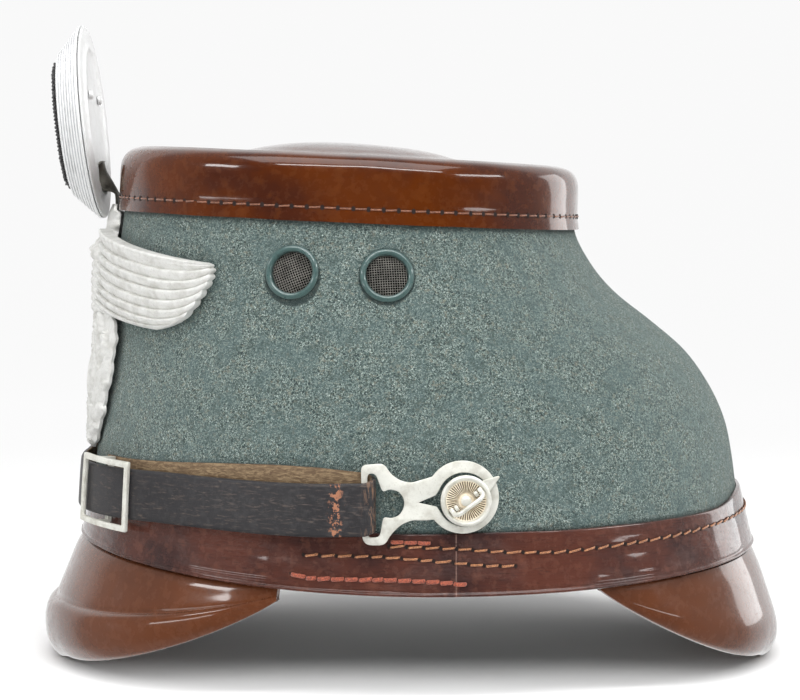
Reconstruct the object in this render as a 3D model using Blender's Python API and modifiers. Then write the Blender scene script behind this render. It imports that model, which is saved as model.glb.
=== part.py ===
"""A police pattern shako hat, built as separate named pieces.

The front of the hat points to -X, its left side to -Y and its top to +Z. The origin lies on
the surface that it stands on, under the middle of its box. Sizes are written in millimetres
and turned into metres where the vertices are made.
"""
import math

import bmesh
import bpy
from mathutils import Matrix, Vector

MM = 0.001
GAP = 0.35              # running gap between neighbouring pieces

# ---------------------------------------------------------------- driving sizes (mm)
# The outside of the felt, a row for each level. A level is an egg shaped oval. It may lean:
# its height is given at x = 0 and falls by "slope" for each mm towards the back.
CROWN_COLUMNS = ("height", "front", "rear", "half_width", "widest_x", "slope")
CROWN = (
    (34.0, -103.8, 105.8, 87.8, 6.0, 0.000),
    (44.0, -103.5, 105.6, 87.6, 6.0, 0.000),
    (53.5, -103.0, 105.2, 87.2, 6.0, 0.000),
    (66.0, -102.0, 103.6, 85.9, 5.0, 0.000),
    (79.0, -100.3, 100.9, 83.0, 3.0, 0.015),
    (91.5, -98.5, 95.6, 79.4, -1.0, 0.030),
    (102.0, -97.1, 88.3, 75.9, -5.0, 0.040),
    (111.0, -96.0, 77.5, 72.7, -10.0, 0.044),
    (120.0, -94.9, 65.6, 70.0, -14.0, 0.044),
    (129.0, -93.8, 57.8, 67.7, -17.0, 0.044),
    (139.4, -92.5, 52.6, 65.6, -19.0, 0.044),
    (158.0, -91.5, 52.0, 64.5, -19.0, 0.046),
)
CROWN_SIDES = 40

FELT_THICK = 2.6
FELT_LEVELS = (44.4, 53.5, 66.0, 79.0, 91.5, 102.0, 111.0, 120.0, 129.0, 139.4, 153.0)

CAP_THICK = 1.35
CAP_LOW = 139.4         # height of the turned-down edge
CAP_TOP = 159.4         # height of the flat of the top
# side and rounded edge of the cap: distance out from the felt, height
CAP_SIDE_COLUMNS = ("out", "height")
CAP_SIDE = ((1.7, CAP_LOW), (1.8, 152.6), (1.0, 155.9), (-1.0, 158.2), (-4.2, CAP_TOP))
# top of the cap: share of the oval from its middle, rise above the flat
CAP_DOME_COLUMNS = ("share", "rise")
CAP_DOME = ((0.54, 0.5), (0.45, 1.6), (0.28, 3.7))
CAP_DOME_TOP = 4.6

BAND_THICK = 1.15
BAND_TOP = 52.5
BAND_LOW_FRONT = 40.5
BAND_LOW_SIDE = 34.6
BAND_LOW_REAR = 37.0
# outside of the leather band: share of its height from the top, distance out from the felt
BAND_PROFILE_COLUMNS = ("share", "out")
BAND_PROFILE = ((0.0, 1.5), (0.5, 2.5), (1.0, 3.5))
BAND_REAR_FLARE = 1.6   # the band stands further out over the neck guard
BAND_REAR_RISE = 3.0    # the band's upper edge is this much higher at the very back
BAND_RISE_ANGLES = (148.0, 172.0)

VISOR_THICK = 2.0
VISOR_COLLAR = 1.0      # the visors' collars lie this far out, inside the band
VISOR_COLLAR_TOP = 44.0
VISOR_COLUMNS_OF_FACES = 16
# outside of each visor on the centre line: distance out from the felt, height
VISOR_PROFILE_COLUMNS = ("out", "height")
FRONT_VISOR = ((3.3, 39.4), (5.4, 36.0), (10.7, 23.6), (12.1, 20.6), (14.6, 17.2), (15.6, 12.5),
               (15.2, 7.0), (13.4, 3.0), (10.6, 0.0))
REAR_VISOR = ((4.6, 36.0), (7.4, 29.8), (11.9, 16.8), (13.5, 10.6), (13.3, 6.6), (11.9, 3.2),
              (8.6, 0.0))
FRONT_VISOR_END = 68.0  # degrees round from the front
FRONT_VISOR_POWER = 0.8
REAR_VISOR_END = 61.5   # degrees round from the back
REAR_VISOR_POWER = 0.86
VISOR_FLAT = 6.0        # degrees each side of the middle where the edge lies on the floor
VISOR_LIFT = 0.06       # share of its depth that the edge rises just beside the flat part
VISOR_LIFT_ANGLE = 18.0

# vents: place on the side of the crown
VENT_COLUMNS = ("x", "z")
VENTS = ((-35.1, 125.8), (-7.5, 124.9))
VENT_RADIUS = 8.0
VENT_MESH_RADIUS = 5.9
VENT_BARREL_RADIUS = 6.9
VENT_HOLE_RADIUS = 7.25

# side posts, turn buttons and strap fittings, all measured from the post's frame: X to the
# back, Y up and Z out from the felt
POST_X = 14.8
POST_Z = 61.8
POST_TURN_X = 8.0       # the post stands square to the felt at this x
POST_FOOT = ((0.0, 4.4), (5.2, 4.4), (5.2, 1.7), (6.4, 1.5), (6.4, 0.8), (0.0, 0.8))
BUTTON_COLUMNS = ("radius", "out")
BUTTON = ((0.0, 7.5), (1.0, 7.4), (1.6, 6.7), (1.7, 6.3), (5.7, 6.5), (6.0, 7.5), (6.8, 7.6),
          (7.2, 7.1), (7.2, 4.75), (0.0, 4.75))
LUG_ANGLE = 36.0        # degrees above the line to the back
LUG_ROOT = 6.2
LUG_HALF_WIDTH = 2.3
LUG_REACH = 11.6
LUG_LOW = 4.75
LUG_HIGH = 6.0
BAIL_AXIS = 7.75        # distance of the bail's hinge line from the felt
BAIL_ARM = 4.9          # the arms stand this far each side of the middle
BAIL_LENGTH = 3.2
BAIL_WIRE = 0.55
BAIL_REST = 58.0        # degrees that the bail stands up from the dish at rest
KNUCKLE_IN = 2.9
KNUCKLE_OUT = 3.95
KNUCKLE_RADIUS = 0.85
FITTING_IN = 2.75       # distance of the fitting's back from the felt
FITTING_THICK = 1.5
FITTING_RING = 10.3
FITTING_HOLE = 7.7
RING_SHIFT = (-0.9, 1.7)    # the ring hangs off the post's middle
# the fitting's upper and lower outline, from the ring to the fork and back, measured from the
# ring's middle
FITTING_TOP = ((-11.6, 4.9), (-14.6, 4.0), (-17.6, 4.7), (-20.2, 6.5), (-22.2, 9.6), (-28.7, 9.1))
FITTING_FOOT = ((-28.4, -11.8), (-27.0, -13.5), (-22.0, -13.5), (-20.4, -10.6), (-17.6, -7.8),
                (-14.2, -6.4), (-11.2, -6.6))
FITTING_WINDOW = ((-26.9, 6.7), (-24.6, 6.7), (-22.6, 1.4), (-20.8, 2.3), (-18.2, 1.8),
                  (-16.6, -0.2), (-16.4, -2.6), (-17.8, -5.1), (-20.2, -6.0), (-22.4, -5.4),
                  (-23.5, -11.3), (-26.9, -11.3))
FITTING_NOTCH = ((-7.2, -3.0), (-12.5, -1.6), (-7.6, 1.2))
BAR_U = -27.75          # the fork's bar, from the ring's middle

# chin strap and slide buckles
STRAP_WIDTH = 15.0
STRAP_THICK = 1.7
LOOP_RADIUS = 2.4
LOOP_STEPS = 5
# the strap's legs between the front and the loops: degrees round from the front, height,
# distance of the strap's middle from the felt
LEG_COLUMNS = ("angle", "z", "out")
LEG_STEP = 7.0
INNER_LEG = ((24.5, 60.8, 1.35), (32.0, 60.9, 1.35), (44.0, 61.8, 1.35), (56.0, 63.0, 1.5),
             (66.0, 63.6, 1.9), (73.0, 63.3, 2.4))
OUTER_LEG = ((73.0, 59.9, 6.9), (66.0, 59.4, 5.2), (56.0, 59.3, 4.2), (46.0, 59.3, 4.4),
             (38.0, 59.2, 5.2), (32.0, 59.0, 5.3), (26.6, 58.9, 5.35), (20.0, 58.7, 5.3),
             (15.0, 58.6, 5.1), (8.0, 58.3, 3.9))
STRAP_FRONT = (0.0, 58.2, 3.1)
BUCKLE_ANGLE = 28.4     # degrees round from the front
BUCKLE_Z = 58.2
BUCKLE_COLUMNS = (-16.5, -14.6, -7.5, 0.0, 7.5, 14.6, 16.5)
BUCKLE_ROWS = (-11.0, -9.1, 9.1, 11.0)
BUCKLE_IN = 6.5
BUCKLE_THICK = 1.4
BUCKLE_BAR = (2.9, 4.15)    # the hidden middle bar, distances from the felt

# badge plate
# half width of the plate and its profile on the centre line, a row for each level
BADGE_COLUMNS = ("z", "half_width", "back", "face")
BADGE = (
    (145.2, 3.6, 2.5, 4.8),
    (143.2, 5.8, 2.45, 5.7),
    (142.4, 6.3, 0.9, 5.9),
    (139.0, 7.4, 0.9, 6.2),
    (136.0, 7.0, 1.0, 6.4),
    (133.6, 9.6, 1.4, 8.6),
    (130.8, 13.0, 1.8, 10.6),
    (127.4, 15.0, 2.1, 9.0),
    (121.0, 15.5, 2.4, 8.6),
    (114.0, 21.0, 2.6, 7.6),
    (109.0, 29.5, 2.6, 6.9),
    (104.0, 32.6, 2.5, 6.6),
    (98.0, 31.6, 2.4, 6.3),
    (92.0, 32.2, 2.2, 6.2),
    (86.0, 29.4, 2.0, 6.0),
    (80.5, 29.0, 1.7, 5.6),
    (75.5, 24.6, 1.3, 5.2),
    (71.0, 22.0, 0.9, 4.8),
    (67.6, 12.0, 0.6, 4.0),
)
WING_ROOT_ANGLE = 7.0
WING_TOP_ROOT = 137.4
WING_FEATHERS = 7
WING_FEATHER_STEP = 3.62
# the feathers' ends, top to bottom: degrees round from the front, height, sag on the way
WING_COLUMNS = ("angle", "z", "sag")
WING_ENDS = (
    (58.7, 127.6, 1.0),
    (58.4, 124.5, 2.2),
    (57.3, 121.4, 3.0),
    (55.8, 118.6, 3.6),
    (53.9, 115.8, 3.8),
    (51.5, 113.2, 3.8),
    (48.7, 110.7, 3.4),
    (45.8, 108.6, 3.0),
)

# cockade
COCKADE_X = -101.8
COCKADE_Z = 171.6
COCKADE_LEAN = 5.6      # degrees forward at its top
COCKADE_TURN = -1.8     # degrees round to the right
COCKADE_SIDES = 16
COCKADE_HEIGHT = 31.0   # half height and half width of the back plate
COCKADE_WIDTH = 21.5
COCKADE_RIBS = 6
COCKADE_DEPTH = 9.7
COCKADE_FRONT_SHARE = 0.72
COCKADE_PAD = 2.2       # the cloth stands this far out of the shell
COCKADE_PLATE = 1.0
RIVET_PLACES = ((-7.0, 7.2), (7.0, 8.4))     # across and up from the cockade's middle
TONGUE_WIDTH = 7.0
TONGUE_THICK = 0.8
# the steel tongue's middle line at y = 0, top to bottom
TONGUE_COLUMNS = ("x", "z")
TONGUE = ((-99.9, 159.0), (-98.9, 155.6), (-96.9, 152.2), (-95.3, 148.9), (-95.0, 145.0),
          (-95.0, 136.4))
POCKET = (8.4, 134.6, 148.0, 3.3)   # width, foot, top and depth of the pocket behind the badge


# ---------------------------------------------------------------- helpers
def clear_scene():
    for thing in list(bpy.data.objects):
        bpy.data.objects.remove(thing, do_unlink=True)


def make_collection(name):
    collection = bpy.data.collections.new(name)
    bpy.context.scene.collection.children.link(collection)
    return collection


def make_material(name, colour, roughness, metallic=0.0):
    material = bpy.data.materials.new(name)
    material.use_nodes = True
    shader = material.node_tree.nodes["Principled BSDF"]
    shader.inputs["Base Color"].default_value = (*colour, 1.0)
    shader.inputs["Roughness"].default_value = roughness
    shader.inputs["Metallic"].default_value = metallic
    material.diffuse_color = (*colour, 1.0)
    return material


def new_object(name, mesh, material, collection):
    piece = bpy.data.objects.new(name, mesh)
    if material:
        mesh.materials.append(material)
    collection.objects.link(piece)
    return piece


def mesh_of(name, points, faces, smooth=True, sharp_angle=35.0):
    """A mesh from points in millimetres, with its faces turned outwards."""
    mesh = bpy.data.meshes.new(name)
    mesh.from_pydata([Vector(point) * MM for point in points], [], faces)
    shape = bmesh.new()
    shape.from_mesh(mesh)
    bmesh.ops.remove_doubles(shape, verts=shape.verts, dist=0.00001)
    bmesh.ops.recalc_face_normals(shape, faces=shape.faces)
    closed = all(edge.is_manifold for edge in shape.edges)
    if closed and shape.calc_volume(signed=True) < 0.0:
        bmesh.ops.reverse_faces(shape, faces=shape.faces)
    shape.to_mesh(mesh)
    shape.free()
    if smooth:
        mesh.shade_smooth()
        mesh.set_sharp_from_angle(angle=math.radians(sharp_angle))
    return mesh


def grid_faces(rows, columns, closed=False, start=0):
    """Faces between rows of points. A closed grid joins its last column to its first."""
    faces = []
    last = columns if closed else columns - 1
    for row in range(rows - 1):
        for column in range(last):
            right = (column + 1) % columns
            a = start + row * columns + column
            b = start + row * columns + right
            c = start + (row + 1) * columns + right
            d = start + (row + 1) * columns + column
            faces.append((a, b, c, d))
    return faces


def slab_mesh(name, face_rows, back_rows, smooth=True, sharp_angle=35.0):
    """A closed solid between two grids of points that have the same rows and columns."""
    rows = len(face_rows)
    columns = len(face_rows[0])
    points = [point for row in face_rows for point in row]
    points += [point for row in back_rows for point in row]
    back = rows * columns
    faces = grid_faces(rows, columns)
    faces += [tuple(reversed(face)) for face in grid_faces(rows, columns, start=back)]
    edge = [column for column in range(columns)]
    edge += [row * columns + columns - 1 for row in range(1, rows)]
    edge += [(rows - 1) * columns + column for column in range(columns - 2, -1, -1)]
    edge += [row * columns for row in range(rows - 2, 0, -1)]
    for here, after in zip(edge, edge[1:] + edge[:1]):
        faces.append((here, here + back, after + back, after))
    return mesh_of(name, points, faces, smooth, sharp_angle)


def ring_mesh(name, sections, smooth=True, sharp_angle=35.0):
    """A closed ring: each section is a closed outline of the same number of points."""
    columns = len(sections[0])
    points = [point for section in sections for point in section]
    faces = grid_faces(len(sections), columns, closed=True)
    last = (len(sections) - 1) * columns
    for column in range(columns):
        right = (column + 1) % columns
        faces.append((last + column, last + right, right, column))
    return mesh_of(name, points, faces, smooth, sharp_angle)


def rod_mesh(name, sections, smooth=True, sharp_angle=35.0):
    """A closed rod through sections with flat ends."""
    columns = len(sections[0])
    points = [point for section in sections for point in section]
    faces = grid_faces(len(sections), columns, closed=True)
    last = (len(sections) - 1) * columns
    faces.append(tuple(range(columns)))
    faces.append(tuple(range(last, last + columns)))
    return mesh_of(name, points, faces, smooth, sharp_angle)


def solidify(piece, thickness_mm):
    shell = piece.modifiers.new("wall", "SOLIDIFY")
    shell.thickness = thickness_mm * MM
    shell.offset = -1.0
    shell.use_even_offset = True


def apply_modifiers(piece):
    """Replace the piece's mesh by its evaluated one."""
    graph = bpy.context.evaluated_depsgraph_get()
    mesh = bpy.data.meshes.new_from_object(piece.evaluated_get(graph))
    piece.modifiers.clear()
    piece.data = mesh


def boolean(piece, cutter, operation):
    step = piece.modifiers.new(cutter.name, "BOOLEAN")
    step.operation = operation
    step.solver = "EXACT"
    step.object = cutter
    cutter.hide_render = True
    cutter.display_type = "WIRE"


def turned(name, profile, steps, material, collection, frame):
    """A turned piece: a profile of (radius, height) round the frame's Z, from top to bottom
    on its outer side."""
    mesh = bpy.data.meshes.new(name)
    points = [(radius * MM, 0.0, height * MM) for radius, height in profile]
    edges = [(index, index + 1) for index in range(len(points) - 1)]
    if profile[0][0] > 0.0 and profile[-1][0] > 0.0:
        edges.append((len(points) - 1, 0))
    mesh.from_pydata(points, edges, [])
    piece = new_object(name, mesh, material, collection)
    screw = piece.modifiers.new("turn", "SCREW")
    screw.steps = steps
    screw.render_steps = steps
    screw.use_merge_vertices = True
    screw.merge_threshold = 0.00001
    screw.use_smooth_shade = False
    piece.matrix_world = frame
    return piece


def mirrored(piece, name, collection):
    """The same piece on the other side of the hat: y turned to -y, in world coordinates."""
    mesh = piece.data.copy()
    mesh.name = name
    mesh.transform(piece.matrix_world)
    mesh.transform(Matrix.Scale(-1.0, 4, Vector((0.0, 1.0, 0.0))))
    mesh.flip_normals()
    copy = bpy.data.objects.new(name, mesh)
    collection.objects.link(copy)
    return copy


# ---------------------------------------------------------------- the crown's surface
def crown_row(height):
    """The crown's oval at a height: a smooth curve through the rows of the table."""
    last = len(CROWN) - 1
    lower = max(index for index in range(last) if CROWN[index][0] <= height or index == 0)
    below = CROWN[max(lower - 1, 0)]
    start = CROWN[lower]
    end = CROWN[lower + 1]
    above = CROWN[min(lower + 2, last)]
    span = end[0] - start[0]
    share = (height - start[0]) / span
    row = {"height": height}
    for column, name in enumerate(CROWN_COLUMNS[1:], start=1):
        before = (end[column] - below[column]) / (end[0] - below[0]) * span
        after = (above[column] - start[column]) / (above[0] - start[0]) * span
        a = 2.0 * share ** 3 - 3.0 * share ** 2 + 1.0
        b = share ** 3 - 2.0 * share ** 2 + share
        c = -2.0 * share ** 3 + 3.0 * share ** 2
        d = share ** 3 - share ** 2
        row[name] = a * start[column] + b * before + c * end[column] + d * after
    return row


def on_wall(angle, height, out=0.0):
    """A point on the felt at an angle round from the front (positive on the left side), moved
    out along the oval's normal. All in millimetres."""
    row = crown_row(height)
    turn = math.radians(angle)
    ahead = math.cos(turn)
    aside = math.sin(turn)
    if ahead >= 0.0:
        reach = row["widest_x"] - row["front"]
    else:
        reach = row["rear"] - row["widest_x"]
    normal = Vector((-ahead / reach, -aside / row["half_width"], 0.0)).normalized()
    x = row["widest_x"] - reach * ahead
    y = -row["half_width"] * aside
    point = Vector((x, y, height - row["slope"] * x))
    return point + normal * out


def wall_frame(angle, height, out=0.0):
    """A frame on the felt: X to the back along the wall, Y up the wall and Z outwards, for a
    place on the left side."""
    point = on_wall(angle, height)
    along = (on_wall(angle + 0.5, height) - on_wall(angle - 0.5, height)).normalized()
    up = on_wall(angle, height + 0.5) - on_wall(angle, height - 0.5)
    normal = along.cross(up).normalized()
    up = normal.cross(along)
    frame = Matrix((along, up, normal)).transposed().to_4x4()
    frame.translation = (point + normal * out) * MM
    return frame


def wall_place(x, z):
    """The angle and height of the place on the left wall with this x and z."""
    height = z
    for _ in range(12):
        height = z + crown_row(height)["slope"] * x
    row = crown_row(height)
    if x < row["widest_x"]:
        share = (row["widest_x"] - x) / (row["widest_x"] - row["front"])
    else:
        share = (row["widest_x"] - x) / (row["rear"] - row["widest_x"])
    return math.degrees(math.acos(share)), height


def angle_of_arc(start_angle, height, out, arc):
    """The angle that lies an arc length along the oval from a start angle."""
    step = 0.25 if arc > 0.0 else -0.25
    angle = start_angle
    left = abs(arc)
    here = on_wall(angle, height, out)
    while left > 0.0:
        after = on_wall(angle + step, height, out)
        length = (after - here).length
        if length >= left:
            return angle + step * left / length
        left -= length
        angle += step
        here = after
    return angle


# ---------------------------------------------------------------- crown pieces
def crown_rings(levels):
    """Rings of points round the crown, one for each (height, distance out)."""
    points = []
    for height, out in levels:
        for column in range(CROWN_SIDES):
            points.append(on_wall(360.0 * column / CROWN_SIDES, height, out))
    return points


def felt_body(material, parts, cutters):
    levels = [(height, 0.0) for height in FELT_LEVELS]
    points = crown_rings(levels)
    faces = grid_faces(len(levels), CROWN_SIDES, closed=True)
    body = new_object("felt_body", mesh_of("felt_body", points, faces), material, parts)
    solidify(body, FELT_THICK)
    for side in (1, -1):
        for number, (x, z) in enumerate(VENTS, start=1):
            angle, height = wall_place(x, z)
            frame = wall_frame(angle, height)
            bpy.ops.mesh.primitive_cylinder_add(vertices=16, radius=VENT_HOLE_RADIUS * MM,
                                                depth=16.0 * MM)
            drill = bpy.context.object
            drill.name = f"vent_drill_{number}_{'near' if side > 0 else 'far'}"
            if side < 0:
                frame = Matrix.Scale(-1.0, 4, Vector((0.0, 1.0, 0.0))) @ frame
                frame = frame @ Matrix.Scale(-1.0, 4, Vector((1.0, 0.0, 0.0)))
            drill.matrix_world = frame
            move_to(drill, cutters)
            boolean(body, drill, "DIFFERENCE")
    return body


def move_to(piece, collection):
    for home in list(piece.users_collection):
        home.objects.unlink(piece)
    collection.objects.link(piece)


def top_cover(material, parts):
    side = [(height, out) for out, height in CAP_SIDE]
    points = crown_rings(side)
    top = crown_row(CAP_TOP)
    edge_out = CAP_SIDE[-1][0]
    middle = Vector(((top["front"] + top["rear"]) / 2.0, 0.0, 0.0))
    for share, rise in CAP_DOME:
        for column in range(CROWN_SIDES):
            edge = on_wall(360.0 * column / CROWN_SIDES, CAP_TOP, edge_out)
            x = middle.x + (edge.x - middle.x) * share
            y = edge.y * share
            points.append(Vector((x, y, CAP_TOP - top["slope"] * x + rise)))
    rows = len(CAP_SIDE) + len(CAP_DOME)
    faces = grid_faces(rows, CROWN_SIDES, closed=True)
    points.append(Vector((middle.x, 0.0, CAP_TOP - top["slope"] * middle.x + CAP_DOME_TOP)))
    last = (rows - 1) * CROWN_SIDES
    for column in range(CROWN_SIDES):
        faces.append((last + column, last + (column + 1) % CROWN_SIDES, rows * CROWN_SIDES))
    cap = new_object("top_cover", mesh_of("top_cover", points, faces), material, parts)
    solidify(cap, CAP_THICK)
    return cap


def band_low(angle):
    """Height of the band's lower edge at an angle round from the front."""
    turn = math.radians(angle)
    ahead = math.cos(turn)
    end = BAND_LOW_FRONT if ahead > 0.0 else BAND_LOW_REAR
    return BAND_LOW_SIDE + (end - BAND_LOW_SIDE) * ahead * ahead


def band_top(angle):
    """Height of the band's upper edge, which rises at the back."""
    start, end = BAND_RISE_ANGLES
    turn = 180.0 - abs(angle % 360.0 - 180.0)
    return BAND_TOP + BAND_REAR_RISE * soft_step(start, end, turn)


def soft_step(low, high, value):
    share = min(max((value - low) / (high - low), 0.0), 1.0)
    return share * share * (3.0 - 2.0 * share)


def band_point(angle, share, out):
    rear = max(0.0, -math.cos(math.radians(angle))) ** 2
    low = band_low(angle)
    top = band_top(angle)
    height = top + (low - top) * share
    return on_wall(angle, height, out + BAND_REAR_FLARE * rear * share)


def base_band(material, parts):
    points = []
    for share, out in BAND_PROFILE:
        for column in range(CROWN_SIDES):
            points.append(band_point(360.0 * column / CROWN_SIDES, share, out))
    faces = grid_faces(len(BAND_PROFILE), CROWN_SIDES, closed=True)
    faces = [tuple(reversed(face)) for face in faces]
    band = new_object("base_band", mesh_of("base_band", points, faces), material, parts)
    solidify(band, BAND_THICK)
    return band


def visor(name, profile, middle_angle, end, power, material, parts):
    """A visor hangs from a collar inside the band. Its depth falls to nothing at its ends."""
    low = band_low(middle_angle)
    face_rows = []
    back_rows = []
    columns = []
    half = VISOR_COLUMNS_OF_FACES // 2
    for column in range(-half, half + 1):
        # the middle column and the ends of the flat part come first, then even steps
        turn = VISOR_FLAT + (end - 1.5 - VISOR_FLAT) * (abs(column) - 1) / (half - 1)
        turn = math.copysign(turn, column) if column else 0.0
        columns.append((middle_angle + turn, visor_depth(turn, end, power)))
    outline = [(VISOR_COLLAR, VISOR_COLLAR_TOP, 0.0), (VISOR_COLLAR, None, 0.0)]
    outline += [(out, height, 1.0) for out, height in profile]
    for index, (out, height, hanging) in enumerate(outline):
        before = outline[max(index - 1, 0)]
        after = outline[min(index + 1, len(outline) - 1)]
        face_row = []
        back_row = []
        for angle, depth in columns:
            edge = band_low(angle)
            place = visor_point(out, height, hanging, low, edge, depth, angle)
            ahead = visor_point(*after, low, edge, depth, angle)
            behind = visor_point(*before, low, edge, depth, angle)
            # the wall's inner side lies a thickness in, square to the profile
            run = ahead[0] - behind[0]
            fall = ahead[1] - behind[1]
            length = math.hypot(run, fall) or 1.0
            inner_out = place[0] + fall / length * VISOR_THICK
            inner_height = place[1] - run / length * VISOR_THICK
            if index == len(outline) - 1:
                inner_height = place[1]
                inner_out = place[0] - VISOR_THICK
            if index == 0:
                inner_height = place[1]
                inner_out = place[0] - VISOR_THICK
            for row, row_out, row_z in ((face_row, *place), (back_row, inner_out, inner_height)):
                point = on_wall(angle, VISOR_COLLAR_TOP, row_out)
                point.z = max(row_z, 0.0)
                row.append(point)
        face_rows.append(face_row)
        back_rows.append(back_row)
    return new_object(name, slab_mesh(name, face_rows, back_rows), material, parts)


def visor_depth(turn, end, power):
    """Share of the visor's full depth at an angle from its middle."""
    away = max(0.0, abs(turn) - VISOR_FLAT) * end / (end - VISOR_FLAT)
    depth = max(0.05, math.cos(math.radians(90.0 * min(away / end, 1.0)))) ** power
    return depth * (1.0 - VISOR_LIFT * soft_step(VISOR_FLAT, VISOR_LIFT_ANGLE, abs(turn)))


def visor_point(out, height, hanging, low_middle, low_here, depth, angle):
    """Distance out and height of a point of the visor's profile at an angle."""
    if hanging == 0.0:
        return out, (low_here - 0.2 if height is None else height)
    distance = VISOR_COLLAR + (out - VISOR_COLLAR) * depth
    return distance, low_here - GAP - (low_middle - GAP - height) * depth


# ---------------------------------------------------------------- vents
def vents(ring_material, mesh_material, parts):
    ring_profile = ((6.25, 1.35), (7.2, 1.45), (VENT_RADIUS, 0.95), (VENT_RADIUS, 0.5),
                    (VENT_BARREL_RADIUS, 0.45), (VENT_BARREL_RADIUS, -3.4), (6.25, -3.4))
    mesh_profile = ((0.0, 0.4), (3.0, 0.2), (VENT_MESH_RADIUS, -0.5), (VENT_MESH_RADIUS, -0.9),
                    (3.0, -0.3), (0.0, -0.1))
    for number, (x, z) in enumerate(VENTS, start=1):
        angle, height = wall_place(x, z)
        frame = wall_frame(angle, height)
        ring = turned(f"vent_ring_near_{number}", ring_profile, 16, ring_material, parts, frame)
        disc = turned(f"vent_mesh_near_{number}", mesh_profile, 12, mesh_material, parts, frame)
        for piece in (ring, disc):
            apply_modifiers(piece)
            mirrored(piece, piece.name.replace("near", "far"), parts)


# ---------------------------------------------------------------- side posts
def post_frame():
    """The near post's frame: X to the back, Y up, Z out, with its origin on the felt."""
    angle, height = wall_place(POST_TURN_X, POST_Z)
    frame = wall_frame(angle, height)
    angle, height = wall_place(POST_X, POST_Z)
    frame.translation = on_wall(angle, height) * MM
    return frame


def prism(name, outline, low, high):
    """A closed prism: an outline in the X-Y plane between two heights."""
    sections = [[Vector((x, y, level)) for x, y in outline] for level in (low, high)]
    return rod_mesh(name, sections, smooth=False)


def scratch_piece(name, mesh, frame, collection):
    piece = new_object(name, mesh, None, collection)
    piece.matrix_world = frame
    return piece


def rotation(degrees, axis):
    return Matrix.Rotation(math.radians(degrees), 4, axis)


def side_posts(metal, steel, parts, cutters):
    frame = post_frame()
    foot = turned("post_near", POST_FOOT, 12, steel, parts, frame)
    apply_modifiers(foot)
    button = turned("lock_button_near", BUTTON, 20, metal, parts, frame)
    apply_modifiers(button)
    turn = rotation(LUG_ANGLE, "Z")
    outline = ((LUG_ROOT, -LUG_HALF_WIDTH), (LUG_REACH, 0.0), (LUG_ROOT, LUG_HALF_WIDTH))
    lug = scratch_piece("button_lug", prism("button_lug", outline, LUG_LOW, LUG_HIGH),
                        frame @ turn, cutters)
    boolean(button, lug, "UNION")
    for side in (-1, 1):
        start = side * KNUCKLE_IN
        end = side * KNUCKLE_OUT
        bpy.ops.mesh.primitive_cylinder_add(vertices=10, radius=KNUCKLE_RADIUS * MM,
                                            depth=abs(end - start) * MM)
        knuckle = bpy.context.object
        knuckle.name = f"bail_knuckle_{'front' if side < 0 else 'rear'}"
        place = Matrix.Translation(Vector(((start + end) / 2.0, 0.0, BAIL_AXIS - 0.75)) * MM)
        knuckle.matrix_world = frame @ turn @ place @ rotation(90.0, "Y")
        move_to(knuckle, cutters)
        boolean(button, knuckle, "UNION")
    apply_modifiers(button)
    bail = bail_piece(frame @ turn, metal, parts)
    far = []
    for piece in (foot, button, bail):
        far.append(mirrored(piece, piece.name.replace("near", "far"), parts))
    set_origin(button, frame.translation)
    hinge = frame @ turn @ Matrix.Translation(Vector((0.0, 0.0, BAIL_AXIS)) * MM)
    set_origin(bail, hinge.translation)
    over = Vector((1.0, -1.0, 1.0))
    set_origin(far[1], frame.translation * over)
    set_origin(far[2], hinge.translation * over)


def set_origin(piece, place):
    """Move a piece's origin to a place in the world and leave its shape where it is."""
    world = piece.matrix_world.copy()
    piece.data.transform(world)
    piece.data.transform(Matrix.Translation(-place))
    piece.matrix_world = Matrix.Translation(place)


def bail_piece(frame, material, parts):
    """A bent wire: two eyes on the hinge line, two arms and the bar that fingers turn."""
    corner = 0.9
    path = [(-BAIL_ARM, -0.5), (-BAIL_ARM, 0.6), (-BAIL_ARM, BAIL_LENGTH - corner),
            (-BAIL_ARM + corner, BAIL_LENGTH), (BAIL_ARM - corner, BAIL_LENGTH),
            (BAIL_ARM, BAIL_LENGTH - corner), (BAIL_ARM, 0.6), (BAIL_ARM, -0.5)]
    points = [Vector((x, -y, 0.0)) for x, y in path]
    sections = []
    for index, point in enumerate(points):
        ahead = points[min(index + 1, len(points) - 1)]
        behind = points[max(index - 1, 0)]
        along = (ahead - behind).normalized()
        across = along.cross(Vector((0.0, 0.0, 1.0)))
        section = []
        for corner_number in range(6):
            turn = math.radians(60.0 * corner_number)
            section.append(point + across * BAIL_WIRE * math.cos(turn)
                           + Vector((0.0, 0.0, 1.0)) * BAIL_WIRE * math.sin(turn))
        sections.append(section)
    bail = new_object("bail_near", rod_mesh("bail_near", sections), material, parts)
    hinge = Matrix.Translation(Vector((0.0, 0.0, BAIL_AXIS)) * MM)
    bail.matrix_world = frame @ hinge @ rotation(-BAIL_REST, "X")
    return bail


def circle_points(radius, start, end, count):
    """Points on a circle round (0, 0) from a start angle to an end angle, in degrees."""
    points = []
    for index in range(count + 1):
        turn = math.radians(start + (end - start) * index / count)
        points.append((radius * math.cos(turn), radius * math.sin(turn)))
    return points


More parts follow.
